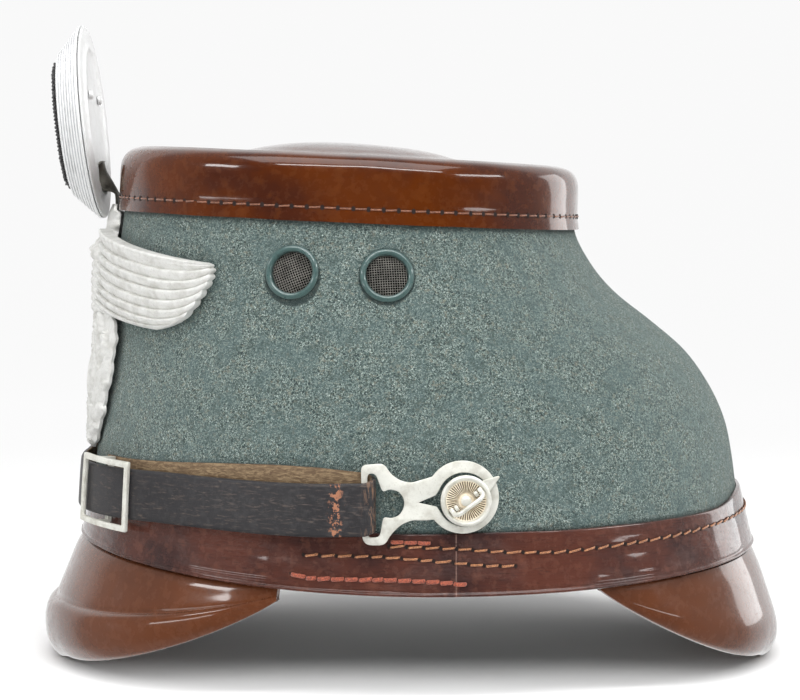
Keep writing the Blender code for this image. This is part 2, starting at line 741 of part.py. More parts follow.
def flat_plate(name, outlines, thick, material, collection, frame):
    """A plate from flat outlines: the first is its edge and the others are holes."""
    curve = bpy.data.curves.new(name, "CURVE")
    curve.dimensions = "2D"
    curve.fill_mode = "BOTH"
    curve.extrude = thick * MM / 2.0
    for outline in outlines:
        spline = curve.splines.new("POLY")
        spline.points.add(len(outline) - 1)
        for point, (x, y) in zip(spline.points, outline):
            point.co = (x * MM, y * MM, 0.0, 1.0)
        spline.use_cyclic_u = True
    drawing = bpy.data.objects.new(name + "_outline", curve)
    collection.objects.link(drawing)
    graph = bpy.context.evaluated_depsgraph_get()
    mesh = bpy.data.meshes.new_from_object(drawing.evaluated_get(graph))
    bpy.data.objects.remove(drawing, do_unlink=True)
    shape = bmesh.new()
    shape.from_mesh(mesh)
    bmesh.ops.remove_doubles(shape, verts=shape.verts, dist=0.000005)
    bmesh.ops.recalc_face_normals(shape, faces=shape.faces)
    shape.to_mesh(mesh)
    shape.free()
    plate = new_object(name, mesh, material, collection)
    plate.matrix_world = frame
    return plate


def strap_fitting(material, parts):
    ring = circle_points(FITTING_RING, 146.0, -142.0, 20)
    edge = list(FITTING_TOP) + list(FITTING_FOOT) + list(reversed(ring))
    hole = circle_points(FITTING_HOLE, 160.0, -152.0, 18) + list(FITTING_NOTCH)
    frame = post_frame()
    middle = FITTING_IN + FITTING_THICK / 2.0
    place = Matrix.Translation(Vector((*RING_SHIFT, middle)) * MM)
    plate = flat_plate("strap_fitting_near", (edge, hole, FITTING_WINDOW), FITTING_THICK,
                       material, parts, frame @ place)
    mirrored(plate, "strap_fitting_far", parts)


# ---------------------------------------------------------------- chin strap
def at_height(angle, z, out):
    """The point of the crown at an angle and a true height, moved out from the felt."""
    height = z
    for _ in range(8):
        height = z + crown_row(height)["slope"] * on_wall(angle, height).x
    return on_wall(angle, height, out)


def outward(angle, z):
    """The oval's level normal."""
    return (at_height(angle, z, 1.0) - at_height(angle, z, 0.0)).normalized()


def strap_section(middle, normal, up):
    half_thick = normal * STRAP_THICK / 2.0
    half_width = up * STRAP_WIDTH / 2.0
    return [middle + half_thick - half_width, middle + half_thick + half_width,
            middle - half_thick + half_width, middle - half_thick - half_width]


def leg_sections(rows, facing):
    """Strap sections along a leg, every few degrees. They lean as the felt under them does."""
    sections = []
    for start, end in zip(rows, rows[1:]):
        steps = max(1, math.ceil(abs(end[0] - start[0]) / LEG_STEP))
        for step in range(steps):
            share = step / steps
            sections.append(leg_section([a + (b - a) * share for a, b in zip(start, end)], facing))
    sections.append(leg_section(rows[-1], facing))
    return sections


def leg_section(row, facing):
    angle, z, out = row
    half = STRAP_WIDTH / 2.0
    face = out + facing * STRAP_THICK / 2.0
    back = out - facing * STRAP_THICK / 2.0
    return [at_height(angle, z - half, face), at_height(angle, z + half, face),
            at_height(angle, z + half, back), at_height(angle, z - half, back)]


def chin_strap(material, parts):
    """One ribbon: each end lies under the outer leg, from a slide buckle back to a fitting."""
    near = leg_sections(INNER_LEG, -1)
    frame = post_frame()
    bar = Vector((BAR_U + RING_SHIFT[0], 0.0, FITTING_IN + FITTING_THICK / 2.0)) * MM
    bar = (frame @ bar) / MM
    back, up, out_of_wall = (frame.to_3x3().col[axis] for axis in range(3))
    start_z = INNER_LEG[-1][1] - 1.0
    end_z = OUTER_LEG[0][1] + 0.9
    for step in range(LOOP_STEPS + 1):
        share = step / LOOP_STEPS
        turn = math.radians(-90.0 + 180.0 * share)
        normal = back * math.cos(turn) + out_of_wall * math.sin(turn)
        middle = bar + normal * LOOP_RADIUS
        middle += up * (start_z + (end_z - start_z) * share - middle.z) / up.z
        near.append(strap_section(middle, normal, up))
    near += leg_sections(OUTER_LEG + (STRAP_FRONT,), 1)
    far = []
    over = Vector((1.0, -1.0, 1.0))
    for section in reversed(near[:-1]):
        far.append([point * over for point in section])
    mesh = rod_mesh("chin_strap", near + far, sharp_angle=30.0)
    return new_object("chin_strap", mesh, material, parts)


def slide_buckle(material, parts, cutters):
    """A curved frame over the strap, with a middle bar under it."""
    face_rows = []
    back_rows = []
    for row in BUCKLE_ROWS:
        face_row = []
        back_row = []
        for arc in BUCKLE_COLUMNS:
            z = BUCKLE_Z + row
            angle = angle_of_arc(BUCKLE_ANGLE, BUCKLE_Z, BUCKLE_IN, arc)
            face_row.append(at_height(angle, z, BUCKLE_IN + BUCKLE_THICK))
            back_row.append(at_height(angle, z, BUCKLE_IN))
        face_rows.append(face_row)
        back_rows.append(back_row)
    mesh = frame_mesh("slide_buckle_near", face_rows, back_rows)
    frame = new_object("slide_buckle_near", mesh, material, parts)
    top = at_height(BUCKLE_ANGLE, BUCKLE_Z + BUCKLE_ROWS[-1], BUCKLE_IN)
    foot = at_height(BUCKLE_ANGLE, BUCKLE_Z + BUCKLE_ROWS[0], BUCKLE_IN)
    up = (top - foot).normalized()
    along = up.cross(outward(BUCKLE_ANGLE, BUCKLE_Z)).normalized()
    normal = along.cross(up)
    inner, outer = BUCKLE_BAR
    rail = (BUCKLE_ROWS[-1] + BUCKLE_ROWS[-2]) / 2.0
    # the two upright ends and the bar between them: middle height, out from, out to, half
    # height, length
    blocks = ((rail, inner - 0.1, BUCKLE_IN + 0.8, 0.8, 2.4),
              (-rail, inner + 0.7, BUCKLE_IN + 0.8, 0.8, 2.4), (0.0, inner, outer, rail, 2.0))
    for number, (z, low, high, half, length) in enumerate(blocks, start=1):
        middle = at_height(BUCKLE_ANGLE, BUCKLE_Z + z, (low + high) / 2.0)
        bpy.ops.mesh.primitive_cube_add(size=1.0)
        block = bpy.context.object
        block.name = f"buckle_bar_{number}"
        size = Matrix.Diagonal((length * MM, (high - low) * MM, 2.0 * half * MM, 1.0))
        turn = Matrix((along, normal, up)).transposed().to_4x4()
        block.matrix_world = Matrix.Translation(middle * MM) @ turn @ size
        move_to(block, cutters)
        boolean(frame, block, "UNION")
    apply_modifiers(frame)
    mirrored(frame, "slide_buckle_far", parts)


def frame_mesh(name, face_rows, back_rows):
    """A flat ring from two grids of points: the cells on the grid's rim are filled."""
    rows = len(face_rows)
    columns = len(face_rows[0])
    filled = [[row in (0, rows - 2) or column in (0, columns - 2) for column in range(columns - 1)]
              for row in range(rows - 1)]
    points = [point for row in face_rows for point in row]
    back = len(points)
    points += [point for row in back_rows for point in row]
    faces = []
    for row in range(rows - 1):
        for column in range(columns - 1):
            if not filled[row][column]:
                continue
            a = row * columns + column
            corners = (a, a + 1, a + columns + 1, a + columns)
            faces.append(corners)
            faces.append(tuple(corner + back for corner in reversed(corners)))
            around = ((row - 1, column), (row, column + 1), (row + 1, column), (row, column - 1))
            for side, (next_row, next_column) in enumerate(around):
                inside = 0 <= next_row < rows - 1 and 0 <= next_column < columns - 1
                if inside and filled[next_row][next_column]:
                    continue
                here = corners[side]
                after = corners[(side + 1) % 4]
                faces.append((here, here + back, after + back, after))
    return mesh_of(name, points, faces, smooth=False)


# ---------------------------------------------------------------- badge plate
BADGE_SHARES = (-1.0, -0.86, -0.66, -0.42, -0.2, 0.0, 0.2, 0.42, 0.66, 0.86, 1.0)
BIRD_RELIEF = (0.30, 0.52, 0.74, 0.90, 0.98, 1.0)     # from the edge to the middle
LEAF_RELIEF = (0.36, 0.92, 1.00, 0.48, 0.62, 0.66)
LEAF_RELIEF_NEXT = (0.30, 0.70, 0.84, 0.40, 0.62, 0.66)
WREATH_TOP = 110.0
BOSS_Z = 90.0
BOSS_RADIUS = 9.0
BOSS_RISE = 1.6


def badge_plate(material, parts, cutters):
    """A cast plate: a bird over a wreath of leaves with a plain round boss."""
    face_rows = []
    back_rows = []
    for number, (z, half_width, back, face) in enumerate(BADGE):
        relief = BIRD_RELIEF
        if z < WREATH_TOP:
            relief = LEAF_RELIEF if number % 2 else LEAF_RELIEF_NEXT
        face_row = []
        back_row = []
        for share in BADGE_SHARES:
            arc = share * half_width
            angle = angle_of_arc(0.0, z, 0.0, arc) if arc else 0.0
            index = min(range(6), key=lambda i: abs(abs(share) + BADGE_SHARES[i]))
            out = back + (face - back) * relief[index]
            boss = math.hypot(arc, z - BOSS_Z) / BOSS_RADIUS
            if z < WREATH_TOP and boss < 1.0:
                out += BOSS_RISE * math.sqrt(1.0 - boss * boss)
            face_row.append(at_height(angle, z, out))
            back_row.append(at_height(angle, z, back))
        face_rows.append(face_row)
        back_rows.append(back_row)
    plate = new_object("badge_plate", slab_mesh("badge_plate", face_rows, back_rows), material,
                       parts)
    for side in (1, -1):
        wing = scratch_piece(f"wing_{'near' if side > 0 else 'far'}", wing_mesh(side),
                             Matrix.Identity(4), cutters)
        boolean(plate, wing, "UNION")
    for number, z in enumerate((122.0, 88.0), start=1):
        bpy.ops.mesh.primitive_cylinder_add(vertices=8, radius=2.4 * MM, depth=3.0 * MM)
        stud = bpy.context.object
        stud.name = f"badge_stud_{number}"
        stud.matrix_world = (Matrix.Translation(at_height(0.0, z, GAP + 1.8) * MM)
                             @ rotation(90.0, "Y"))
        move_to(stud, cutters)
        boolean(plate, stud, "UNION")
    width, foot, top, depth = POCKET
    bpy.ops.mesh.primitive_cube_add(size=1.0)
    pocket = bpy.context.object
    pocket.name = "tongue_pocket"
    middle = at_height(0.0, (foot + top) / 2.0, depth - 4.0)
    lean = math.atan2(at_height(0.0, foot, 0.0).x - at_height(0.0, top, 0.0).x, top - foot)
    pocket.matrix_world = (Matrix.Translation(middle * MM) @ Matrix.Rotation(-lean, 4, "Y")
                           @ Matrix.Diagonal((8.0 * MM, width * MM, (top - foot) * MM, 1.0)))
    move_to(pocket, cutters)
    boolean(plate, pocket, "DIFFERENCE")
    return plate


WING_STATIONS = 6
WING_BACK = (3.0, 1.8)       # distances from the felt at the root and the tip
WING_FACE = (6.8, 4.4)
FEATHER_STEP = 1.3


def wing_line(line, share):
    """Angle and height of a line between feathers, at a share of its length."""
    end_angle, end_z, sag = WING_ENDS[line]
    root_z = WING_TOP_ROOT - WING_FEATHER_STEP * line
    angle = WING_ROOT_ANGLE + (end_angle - WING_ROOT_ANGLE) * share
    z = root_z + (end_z - root_z) * share - sag * 5.0 * share * share * (1.0 - share)
    return angle, z


def wing_mesh(side):
    """A wing of lapped feathers: each is high along its top and low along its foot."""
    face_rows = []
    back_rows = []
    for feather in range(WING_FEATHERS):
        for line, low, drop in ((feather, 0.0, 0.25), (feather + 1, FEATHER_STEP, 0.0)):
            face_row = []
            back_row = []
            for station in range(WING_STATIONS + 1):
                share = station / WING_STATIONS
                angle, z = wing_line(line, share)
                z -= drop if line else 0.0
                face = WING_FACE[0] + (WING_FACE[1] - WING_FACE[0]) * share - low
                back = WING_BACK[0] + (WING_BACK[1] - WING_BACK[0]) * share
                face_row.append(at_height(angle * side, z, face))
                back_row.append(at_height(angle * side, z, back))
            face_rows.append(face_row)
            back_rows.append(back_row)
    return slab_mesh("wing", face_rows, back_rows)


# ---------------------------------------------------------------- cockade
def cockade_frame():
    """X across the hat, Y up the cockade and Z forwards, out of its face."""
    lean = math.radians(COCKADE_LEAN)
    across = Vector((0.0, -1.0, 0.0))
    up = Vector((-math.sin(lean), 0.0, math.cos(lean)))
    forward = across.cross(up)
    frame = Matrix((across, up, forward)).transposed().to_4x4()
    place = Matrix.Translation(Vector((COCKADE_X, 0.0, COCKADE_Z)) * MM)
    return place @ rotation(COCKADE_TURN, "Z") @ frame


def oval_rows(rows):
    """Rings of an oval: each row is a share of the oval's size and a distance forwards."""
    rings = []
    for share, forward in rows:
        ring = []
        for side in range(COCKADE_SIDES):
            turn = 2.0 * math.pi * side / COCKADE_SIDES
            across = (COCKADE_WIDTH - (1.0 - share) * COCKADE_HEIGHT) * math.cos(turn)
            ring.append(Vector((across, COCKADE_HEIGHT * share * math.sin(turn), forward)))
        rings.append(ring)
    return rings


def oval_disc(name, front_rows, back_rows, front_top, back_top):
    """A closed oval disc: rings from the middle of its front, round its edge, to the back."""
    rings = oval_rows(front_rows + back_rows)
    points = [point for ring in rings for point in ring]
    faces = grid_faces(len(rings), COCKADE_SIDES, closed=True)
    points += [Vector((0.0, 0.0, front_top)), Vector((0.0, 0.0, back_top))]
    front = len(points) - 2
    back = len(points) - 1
    last = (len(rings) - 1) * COCKADE_SIDES
    for side in range(COCKADE_SIDES):
        right = (side + 1) % COCKADE_SIDES
        faces.append((right, side, front))
        faces.append((last + side, last + right, back))
    return mesh_of(name, points, faces)


def cockade(metal, cloth, steel, parts):
    frame = cockade_frame()
    profile = []
    start = COCKADE_PLATE + GAP
    for rib in range(COCKADE_RIBS):
        share = 1.0 - (1.0 - COCKADE_FRONT_SHARE) * rib / COCKADE_RIBS
        next_share = 1.0 - (1.0 - COCKADE_FRONT_SHARE) * (rib + 1) / COCKADE_RIBS
        depth = start + (COCKADE_DEPTH - start) * rib / COCKADE_RIBS
        next_depth = start + (COCKADE_DEPTH - start) * (rib + 1) / COCKADE_RIBS
        profile.append((share, depth))
        profile.append((share - 0.25 * (share - next_share), depth + 0.8 * (next_depth - depth)))
    profile += [(COCKADE_FRONT_SHARE, COCKADE_DEPTH), (COCKADE_FRONT_SHARE - 0.05, COCKADE_DEPTH),
                (COCKADE_FRONT_SHARE - 0.05, COCKADE_DEPTH - 1.6), (0.93, start)]
    rings = oval_rows(profile)
    sections = [[ring[side] for ring in rings] for side in range(COCKADE_SIDES)]
    shell = new_object("cockade_shell", ring_mesh("cockade_shell", sections), metal, parts)
    inside = COCKADE_FRONT_SHARE - 0.065
    swell = COCKADE_DEPTH + COCKADE_PAD
    seat = COCKADE_DEPTH - 0.8
    field = oval_disc("cockade_field", ((0.45, swell), (inside - 0.03, swell - 0.3),
                                        (inside, swell - 0.9)),
                      ((inside, seat), (0.4, seat)), swell + 0.1, seat)
    cloth_piece = new_object("cockade_field", field, cloth, parts)
    lip = 0.78
    back = oval_disc("cockade_back", ((0.5, COCKADE_PLATE), (0.99, COCKADE_PLATE)),
                     ((0.99, 0.15), (lip + 0.03, 0.15), (lip, -0.5), (lip - 0.05, 0.1),
                      (0.4, 0.2)), COCKADE_PLATE, 0.2)
    plate = new_object("cockade_back", back, metal, parts)
    for piece in (shell, cloth_piece, plate):
        piece.matrix_world = frame
    for number, (across, up) in enumerate(RIVET_PLACES, start=1):
        rivet_profile = ((0.0, 0.0), (1.5, 0.0), (1.5, -0.4), (0.9, -1.0), (0.0, -1.1))
        seat = frame @ Matrix.Translation(Vector((across, up, -0.2)) * MM)
        rivet = turned(f"cockade_rivet_{number}", rivet_profile, 8, metal, parts, seat)
        apply_modifiers(rivet)
    sections = []
    for index, (x, z) in enumerate(TONGUE):
        ahead = TONGUE[min(index + 1, len(TONGUE) - 1)]
        behind = TONGUE[max(index - 1, 0)]
        along = Vector((ahead[0] - behind[0], 0.0, ahead[1] - behind[1])).normalized()
        across = Vector((0.0, 1.0, 0.0))
        normal = across.cross(along) * TONGUE_THICK / 2.0
        half = across * TONGUE_WIDTH / 2.0
        middle = Vector((x, 0.0, z))
        sections.append([middle + normal - half, middle + normal + half,
                         middle - normal + half, middle - normal - half])
    mesh = rod_mesh("cockade_tongue", sections, sharp_angle=50.0)
    new_object("cockade_tongue", mesh, steel, parts)


# ---------------------------------------------------------------- main
def main():
    clear_scene()
    parts = make_collection("shako_hat")
    cutters = make_collection("cutters")
    felt = make_material("felt", (0.14, 0.18, 0.17), 0.95)
    cap_finish = make_material("cap_lacquer", (0.14, 0.035, 0.008), 0.2)
    band_finish = make_material("band_leather", (0.10, 0.045, 0.033), 0.25)
    visor_finish = make_material("visor_lacquer", (0.16, 0.07, 0.035), 0.3)
    enamel = make_material("vent_enamel", (0.10, 0.14, 0.14), 0.35)
    wire = make_material("vent_wire", (0.12, 0.12, 0.11), 0.5, 1.0)
    felt_body(felt, parts, cutters)
    top_cover(cap_finish, parts)
    base_band(band_finish, parts)
    visor("front_visor", FRONT_VISOR, 0.0, FRONT_VISOR_END, FRONT_VISOR_POWER, visor_finish, parts)
    visor("rear_visor", REAR_VISOR, 180.0, REAR_VISOR_END, REAR_VISOR_POWER, visor_finish, parts)
    vents(enamel, wire, parts)
    aluminium = make_material("cast_aluminium", (0.62, 0.62, 0.58), 0.4, 1.0)
    dark_steel = make_material("dark_steel", (0.10, 0.10, 0.10), 0.4, 1.0)
    strap_finish = make_material("strap_leather", (0.035, 0.030, 0.030), 0.35)
    black_cloth = make_material("black_cloth", (0.012, 0.012, 0.012), 0.9)
    side_posts(aluminium, dark_steel, parts, cutters)
    strap_fitting(aluminium, parts)
    chin_strap(strap_finish, parts)
    slide_buckle(aluminium, parts, cutters)
    badge_plate(aluminium, parts, cutters)
    cockade(aluminium, black_cloth, dark_steel, parts)


main()
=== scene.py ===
# %% [markdown]
# # A felt shako in Blender
#
# This lesson dresses a plain CAD model of a shako, a stiff felt hat with a lacquered top, in
# fine meshes and procedural materials. The CAD model is loaded first and is never moved: it
# says where everything is. Sizes are in millimetres and become metres where a mesh is made.

# %% Load the frame and note its box
import math
import random

import bmesh
import bpy
from mathutils import Matrix, Vector, noise


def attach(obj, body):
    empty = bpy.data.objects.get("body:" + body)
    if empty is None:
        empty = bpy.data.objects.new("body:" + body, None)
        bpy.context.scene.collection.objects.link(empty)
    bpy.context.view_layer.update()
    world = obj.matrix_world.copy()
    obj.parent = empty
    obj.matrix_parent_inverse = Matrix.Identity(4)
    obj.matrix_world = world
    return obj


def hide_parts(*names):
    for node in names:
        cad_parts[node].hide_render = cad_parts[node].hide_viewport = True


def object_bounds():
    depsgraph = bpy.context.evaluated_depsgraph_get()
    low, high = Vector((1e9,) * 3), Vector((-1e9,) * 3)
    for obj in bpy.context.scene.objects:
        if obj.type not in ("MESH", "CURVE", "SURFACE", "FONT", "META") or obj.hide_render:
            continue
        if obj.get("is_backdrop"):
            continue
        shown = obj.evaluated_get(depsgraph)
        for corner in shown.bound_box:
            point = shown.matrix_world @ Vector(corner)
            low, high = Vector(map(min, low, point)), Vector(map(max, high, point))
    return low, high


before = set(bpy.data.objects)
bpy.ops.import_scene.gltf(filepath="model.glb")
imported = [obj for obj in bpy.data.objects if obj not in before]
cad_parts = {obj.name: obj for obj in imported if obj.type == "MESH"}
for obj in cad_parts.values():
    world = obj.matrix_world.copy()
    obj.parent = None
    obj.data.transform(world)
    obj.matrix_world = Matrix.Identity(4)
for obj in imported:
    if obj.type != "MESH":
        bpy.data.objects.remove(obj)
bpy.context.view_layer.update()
MM = 0.001


# %% [markdown]
# ## The crown's surface
#
# Nearly every piece lies on the crown, so the crown comes first, as a surface that can be asked
# for a point. Each level is an egg shaped oval, given by where it starts and ends from front to
# back, how wide it is and where it is widest. A smooth cubic between the rows of the table
# gives the hollow below the top and the round back. The hat could be sculpted instead, but a
# table of measured ovals keeps the same shape as the CAD solids.

# %% The table of ovals
CROWN_COLUMNS = ("height", "front", "rear", "half_width", "widest_x", "slope")
CROWN = (
    (34.0, -103.8, 105.8, 87.8, 6.0, 0.000),
    (44.0, -103.5, 105.6, 87.6, 6.0, 0.000),
    (53.5, -103.0, 105.2, 87.2, 6.0, 0.000),
    (66.0, -102.0, 103.6, 85.9, 5.0, 0.000),
    (79.0, -100.3, 100.9, 83.0, 3.0, 0.015),
    (91.5, -98.5, 95.6, 79.4, -1.0, 0.030),
    (102.0, -97.1, 88.3, 75.9, -5.0, 0.040),
    (111.0, -96.0, 77.5, 72.7, -10.0, 0.044),
    (120.0, -94.9, 65.6, 70.0, -14.0, 0.044),
    (129.0, -93.8, 57.8, 67.7, -17.0, 0.044),
    (139.4, -92.5, 52.6, 65.6, -19.0, 0.044),
    (158.0, -91.5, 52.0, 64.5, -19.0, 0.046),
)


def crown_row(height):
    """The oval at a height, as a dictionary of its columns."""
    last = len(CROWN) - 1
    lower = max(index for index in range(last) if CROWN[index][0] <= height or index == 0)
    below = CROWN[max(lower - 1, 0)]
    start = CROWN[lower]
    end = CROWN[lower + 1]
    above = CROWN[min(lower + 2, last)]
    span = end[0] - start[0]
    share = (height - start[0]) / span
    row = {"height": height}
    for column, name in enumerate(CROWN_COLUMNS[1:], start=1):
        before = (end[column] - below[column]) / (end[0] - below[0]) * span
        after = (above[column] - start[column]) / (above[0] - start[0]) * span
        a = 2.0 * share ** 3 - 3.0 * share ** 2 + 1.0
        b = share ** 3 - 2.0 * share ** 2 + share
        c = -2.0 * share ** 3 + 3.0 * share ** 2
        d = share ** 3 - share ** 2
        row[name] = a * start[column] + b * before + c * end[column] + d * after
    return row


# %% Points on the crown
ROWS = {}


def on_wall(angle, height, out=0.0):
    """A point of the felt at an angle round from the front, moved out along its normal."""
    key = round(height, 4)
    if key not in ROWS:
        ROWS[key] = crown_row(height)
    row = ROWS[key]
    turn = math.radians(angle)
    ahead = math.cos(turn)
    aside = math.sin(turn)
    if ahead >= 0.0:
        reach = row["widest_x"] - row["front"]
    else:
        reach = row["rear"] - row["widest_x"]
    normal = Vector((-ahead / reach, -aside / row["half_width"], 0.0)).normalized()
    x = row["widest_x"] - reach * ahead
    y = -row["half_width"] * aside
    return Vector((x, y, height - row["slope"] * x)) + normal * out


def at_height(angle, z, out=0.0):
    """The same, for a true height, because the upper ovals lean back."""
    height = z
    for _ in range(5):
        height = z + crown_row(height)["slope"] * on_wall(angle, height).x
    return on_wall(angle, height, out)


def outward(angle, z):
    return (at_height(angle, z, 1.0) - at_height(angle, z, 0.0)).normalized()


def wall_place(x, z):
    """The angle and height of the place on the near wall with this x and z."""
    height = z
    for _ in range(12):
        height = z + crown_row(height)["slope"] * x
    row = crown_row(height)
    if x < row["widest_x"]:
        share = (row["widest_x"] - x) / (row["widest_x"] - row["front"])
    else:
        share = (row["widest_x"] - x) / (row["rear"] - row["widest_x"])
    return math.degrees(math.acos(share)), height


def wall_frame(angle, height):
    """A frame on the near wall: X back along it, Y up it and Z out of it."""
    along = (on_wall(angle + 0.5, height) - on_wall(angle - 0.5, height)).normalized()
    up = on_wall(angle, height + 0.5) - on_wall(angle, height - 0.5)
    normal = along.cross(up).normalized()
    up = normal.cross(along)
    axes = Matrix((along, up, normal)).transposed().to_4x4()
    axes.translation = on_wall(angle, height) * MM
    return axes


def angle_of_arc(start_angle, height, out, arc):
    """The angle that lies an arc length along the oval from a start angle."""
    step = 0.25 if arc > 0.0 else -0.25
    angle = start_angle
    left = abs(arc)
    here = on_wall(angle, height, out)
    while left > 0.0:
        after = on_wall(angle + step, height, out)
        length = (after - here).length
        if length >= left:
            return angle + step * left / length
        left -= length
        angle += step
        here = after
    return angle


print("the brim oval is", round(crown_row(44.0)["rear"] - crown_row(44.0)["front"], 1), "mm long")

# %% [markdown]
# ## Mesh helpers
#
# Most pieces are sheets of leather, felt or metal. A sheet is made from a grid of points on its
# face and the same grid on its back, joined round the rim. Making both sides by hand gives
# clean closed meshes, which a Solidify modifier doesn't where a sheet is folded.

# %% Helpers that turn points into closed meshes
MERGE_DISTANCE = 0.002 * MM


def turn_matrix(degrees, axis):
    return Matrix.Rotation(math.radians(degrees), 4, axis)


def turns(count):
    """Angles all round a circle, in radians."""
    return [2.0 * math.pi * index / count for index in range(count)]


def in_line(rows):
    """Rows of points as one list."""
    return [point for row in rows for point in row]


def smooth_shade(mesh, sharp):
    """Smooth shading that leaves edges above an angle in degrees sharp."""
    mesh.shade_smooth()
    mesh.set_sharp_from_angle(angle=math.radians(sharp))


def clean(mesh, distance):
    """Merges points closer than a distance and turns the faces outwards."""
    shape = bmesh.new()
    shape.from_mesh(mesh)
    bmesh.ops.remove_doubles(shape, verts=shape.verts, dist=distance)
    bmesh.ops.recalc_face_normals(shape, faces=shape.faces)
    closed = all(edge.is_manifold for edge in shape.edges)
    if closed and shape.calc_volume(signed=True) < 0.0:
        bmesh.ops.reverse_faces(shape, faces=shape.faces)
    shape.to_mesh(mesh)
    shape.free()


def mesh_of(name, points, faces, sharp=35.0):
    """A smooth shaded mesh from points in millimetres, with its faces turned outwards."""
    mesh = bpy.data.meshes.new(name)
    mesh.from_pydata([Vector(point) * MM for point in points], [], faces)
    clean(mesh, MERGE_DISTANCE)
    smooth_shade(mesh, sharp)
    return mesh


def grid_faces(rows, columns, closed=False, start=0):
    """Faces between rows of points. A closed grid joins its last column to its first."""
    faces = []
    for row in range(rows - 1):
        for column in range(columns if closed else columns - 1):
            right = (column + 1) % columns
            a = start + row * columns + column
            b = start + row * columns + right
            c = start + (row + 1) * columns + right
            d = start + (row + 1) * columns + column
            faces.append((a, b, c, d))
    return faces


def face_and_back(rows, columns, pair_at):
    """Two grids of points, from a function that gives a row's and column's pair of points."""
    pairs = [[pair_at(row, column) for column in columns] for row in rows]
    return [[[pair[side] for pair in row] for row in pairs] for side in (0, 1)]


def slab_mesh(name, face_rows, back_rows, sharp=35.0):
    """A closed sheet between two grids of points with the same rows and columns."""
    rows = len(face_rows)
    columns = len(face_rows[0])
    points = in_line(face_rows) + in_line(back_rows)
    back = rows * columns
    faces = grid_faces(rows, columns)
    faces += [tuple(reversed(face)) for face in grid_faces(rows, columns, start=back)]
    edge = list(range(columns))
    edge += [row * columns + columns - 1 for row in range(1, rows)]
    edge += [(rows - 1) * columns + column for column in range(columns - 2, -1, -1)]
    edge += [row * columns for row in range(rows - 2, 0, -1)]
    for here, after in zip(edge, edge[1:] + edge[:1]):
        faces.append((here, here + back, after + back, after))
    return mesh_of(name, points, faces, sharp)


def ring_mesh(name, sections, sharp=35.0):
    """A closed ring of sections, each a closed outline of the same number of points."""
    columns = len(sections[0])
    points = in_line(sections)
    faces = grid_faces(len(sections), columns, closed=True)
    last = (len(sections) - 1) * columns
    for column in range(columns):
        right = (column + 1) % columns
        faces.append((last + column, last + right, right, column))
    return mesh_of(name, points, faces, sharp)


def shell_mesh(name, rings, sharp=35.0):
    """A closed shell from rings of points, the first and the last drawn to one point."""
    faces = grid_faces(len(rings), len(rings[0]), closed=True)
    return mesh_of(name, in_line(rings), faces, sharp)


def rod_parts(rods):
    """Points and faces of closed rods, each made through its sections, with flat ends."""
    points = []
    faces = []
    for sections in rods:
        start = len(points)
        columns = len(sections[0])
        points += in_line(sections)
        last = len(points) - columns
        faces += grid_faces(len(sections), columns, closed=True, start=start)
        faces.append(tuple(range(start + columns - 1, start - 1, -1)))
        faces.append(tuple(range(last, last + columns)))
    return points, faces


def rod_mesh(name, rods, sharp=35.0):
    return mesh_of(name, *rod_parts(rods), sharp)


# %% Helpers that put a piece in the scene
SAID = {}


def piece_of(name, mesh, body="hat", slot=None, stands_for=(), place=None):
    """An object that moves with a CAD body, and stands for CAD nodes where it replaces some."""
    SAID[name] = (body, slot, stands_for)
    piece = bpy.data.objects.new(name, mesh)
    bpy.context.scene.collection.objects.link(piece)
    if place is not None:
        piece.data.transform(place)
    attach(piece, body)
    if stands_for:
        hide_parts(*stands_for)
    return piece


def settle(piece):
    """Replaces a piece's mesh by what its modifiers make of it."""
    graph = bpy.context.evaluated_depsgraph_get()
    mesh = bpy.data.meshes.new_from_object(piece.evaluated_get(graph))
    piece.modifiers.clear()
    piece.data = mesh
    return piece


def far_copy(piece):
    """The same piece on the far side: y is turned to -y, and near to far in what is said of it."""
    body, slot, stands_for = SAID[piece.name]
    name = piece.name.replace("near", "far")
    mesh = piece.data.copy()
    mesh.name = name
    mesh.transform(Matrix.Scale(-1.0, 4, Vector((0.0, 1.0, 0.0))))
    mesh.flip_normals()
    return piece_of(name, mesh, body.replace("near", "far"), slot,
                    [node.replace("near", "far") for node in stands_for])


# %% Helpers for objects that only help to shape a piece
def helper(name, mesh, place=None):
    """An object that isn't a piece."""
    thing = bpy.data.objects.new(name, mesh)
    bpy.context.scene.collection.objects.link(thing)
    if place is not None:
        mesh.transform(place)
    return thing


def cylinder(radius, length, sides, place):
    """A helper object: a cylinder along the Z axis of a frame."""
    bpy.ops.mesh.primitive_cylinder_add(vertices=sides, radius=radius * MM, depth=length * MM)
    thing = bpy.context.object
    thing.data.transform(place)
    return thing


def move_off(thing):
    """Takes a helper object out of the scene."""
    bpy.data.objects.remove(thing, do_unlink=True)


def combine(piece, others, operation="UNION"):
    """Unites helper objects with the piece, or cuts them out of it."""
    for other in others:
        step = piece.modifiers.new("combine", "BOOLEAN")
        step.operation = operation
        step.solver = "EXACT"
        step.object = other
    settle(piece)
    for other in others:
        move_off(other)
    return piece


# %% Helpers for uneven and soft shapes
def lumps(point, scale, amount):
    """Smooth noise at a point in millimetres, for hand made unevenness."""
    return noise.noise(Vector(point) * scale) * amount


def soft_step(low, high, value):
    """A smooth step from 0 at low to 1 at high."""
    share = min(max((value - low) / (high - low), 0.0), 1.0)
    return share * share * (3.0 - 2.0 * share)


# %% [markdown]
# ## Felt crown
#
# The crown is one wall of pressed felt, 2.6 mm thick, with four round holes for the vents. Its
# face isn't dead flat, so low lumps of a tenth of a millimetre go into the mesh, and the fleck
# and nap come later from the material.

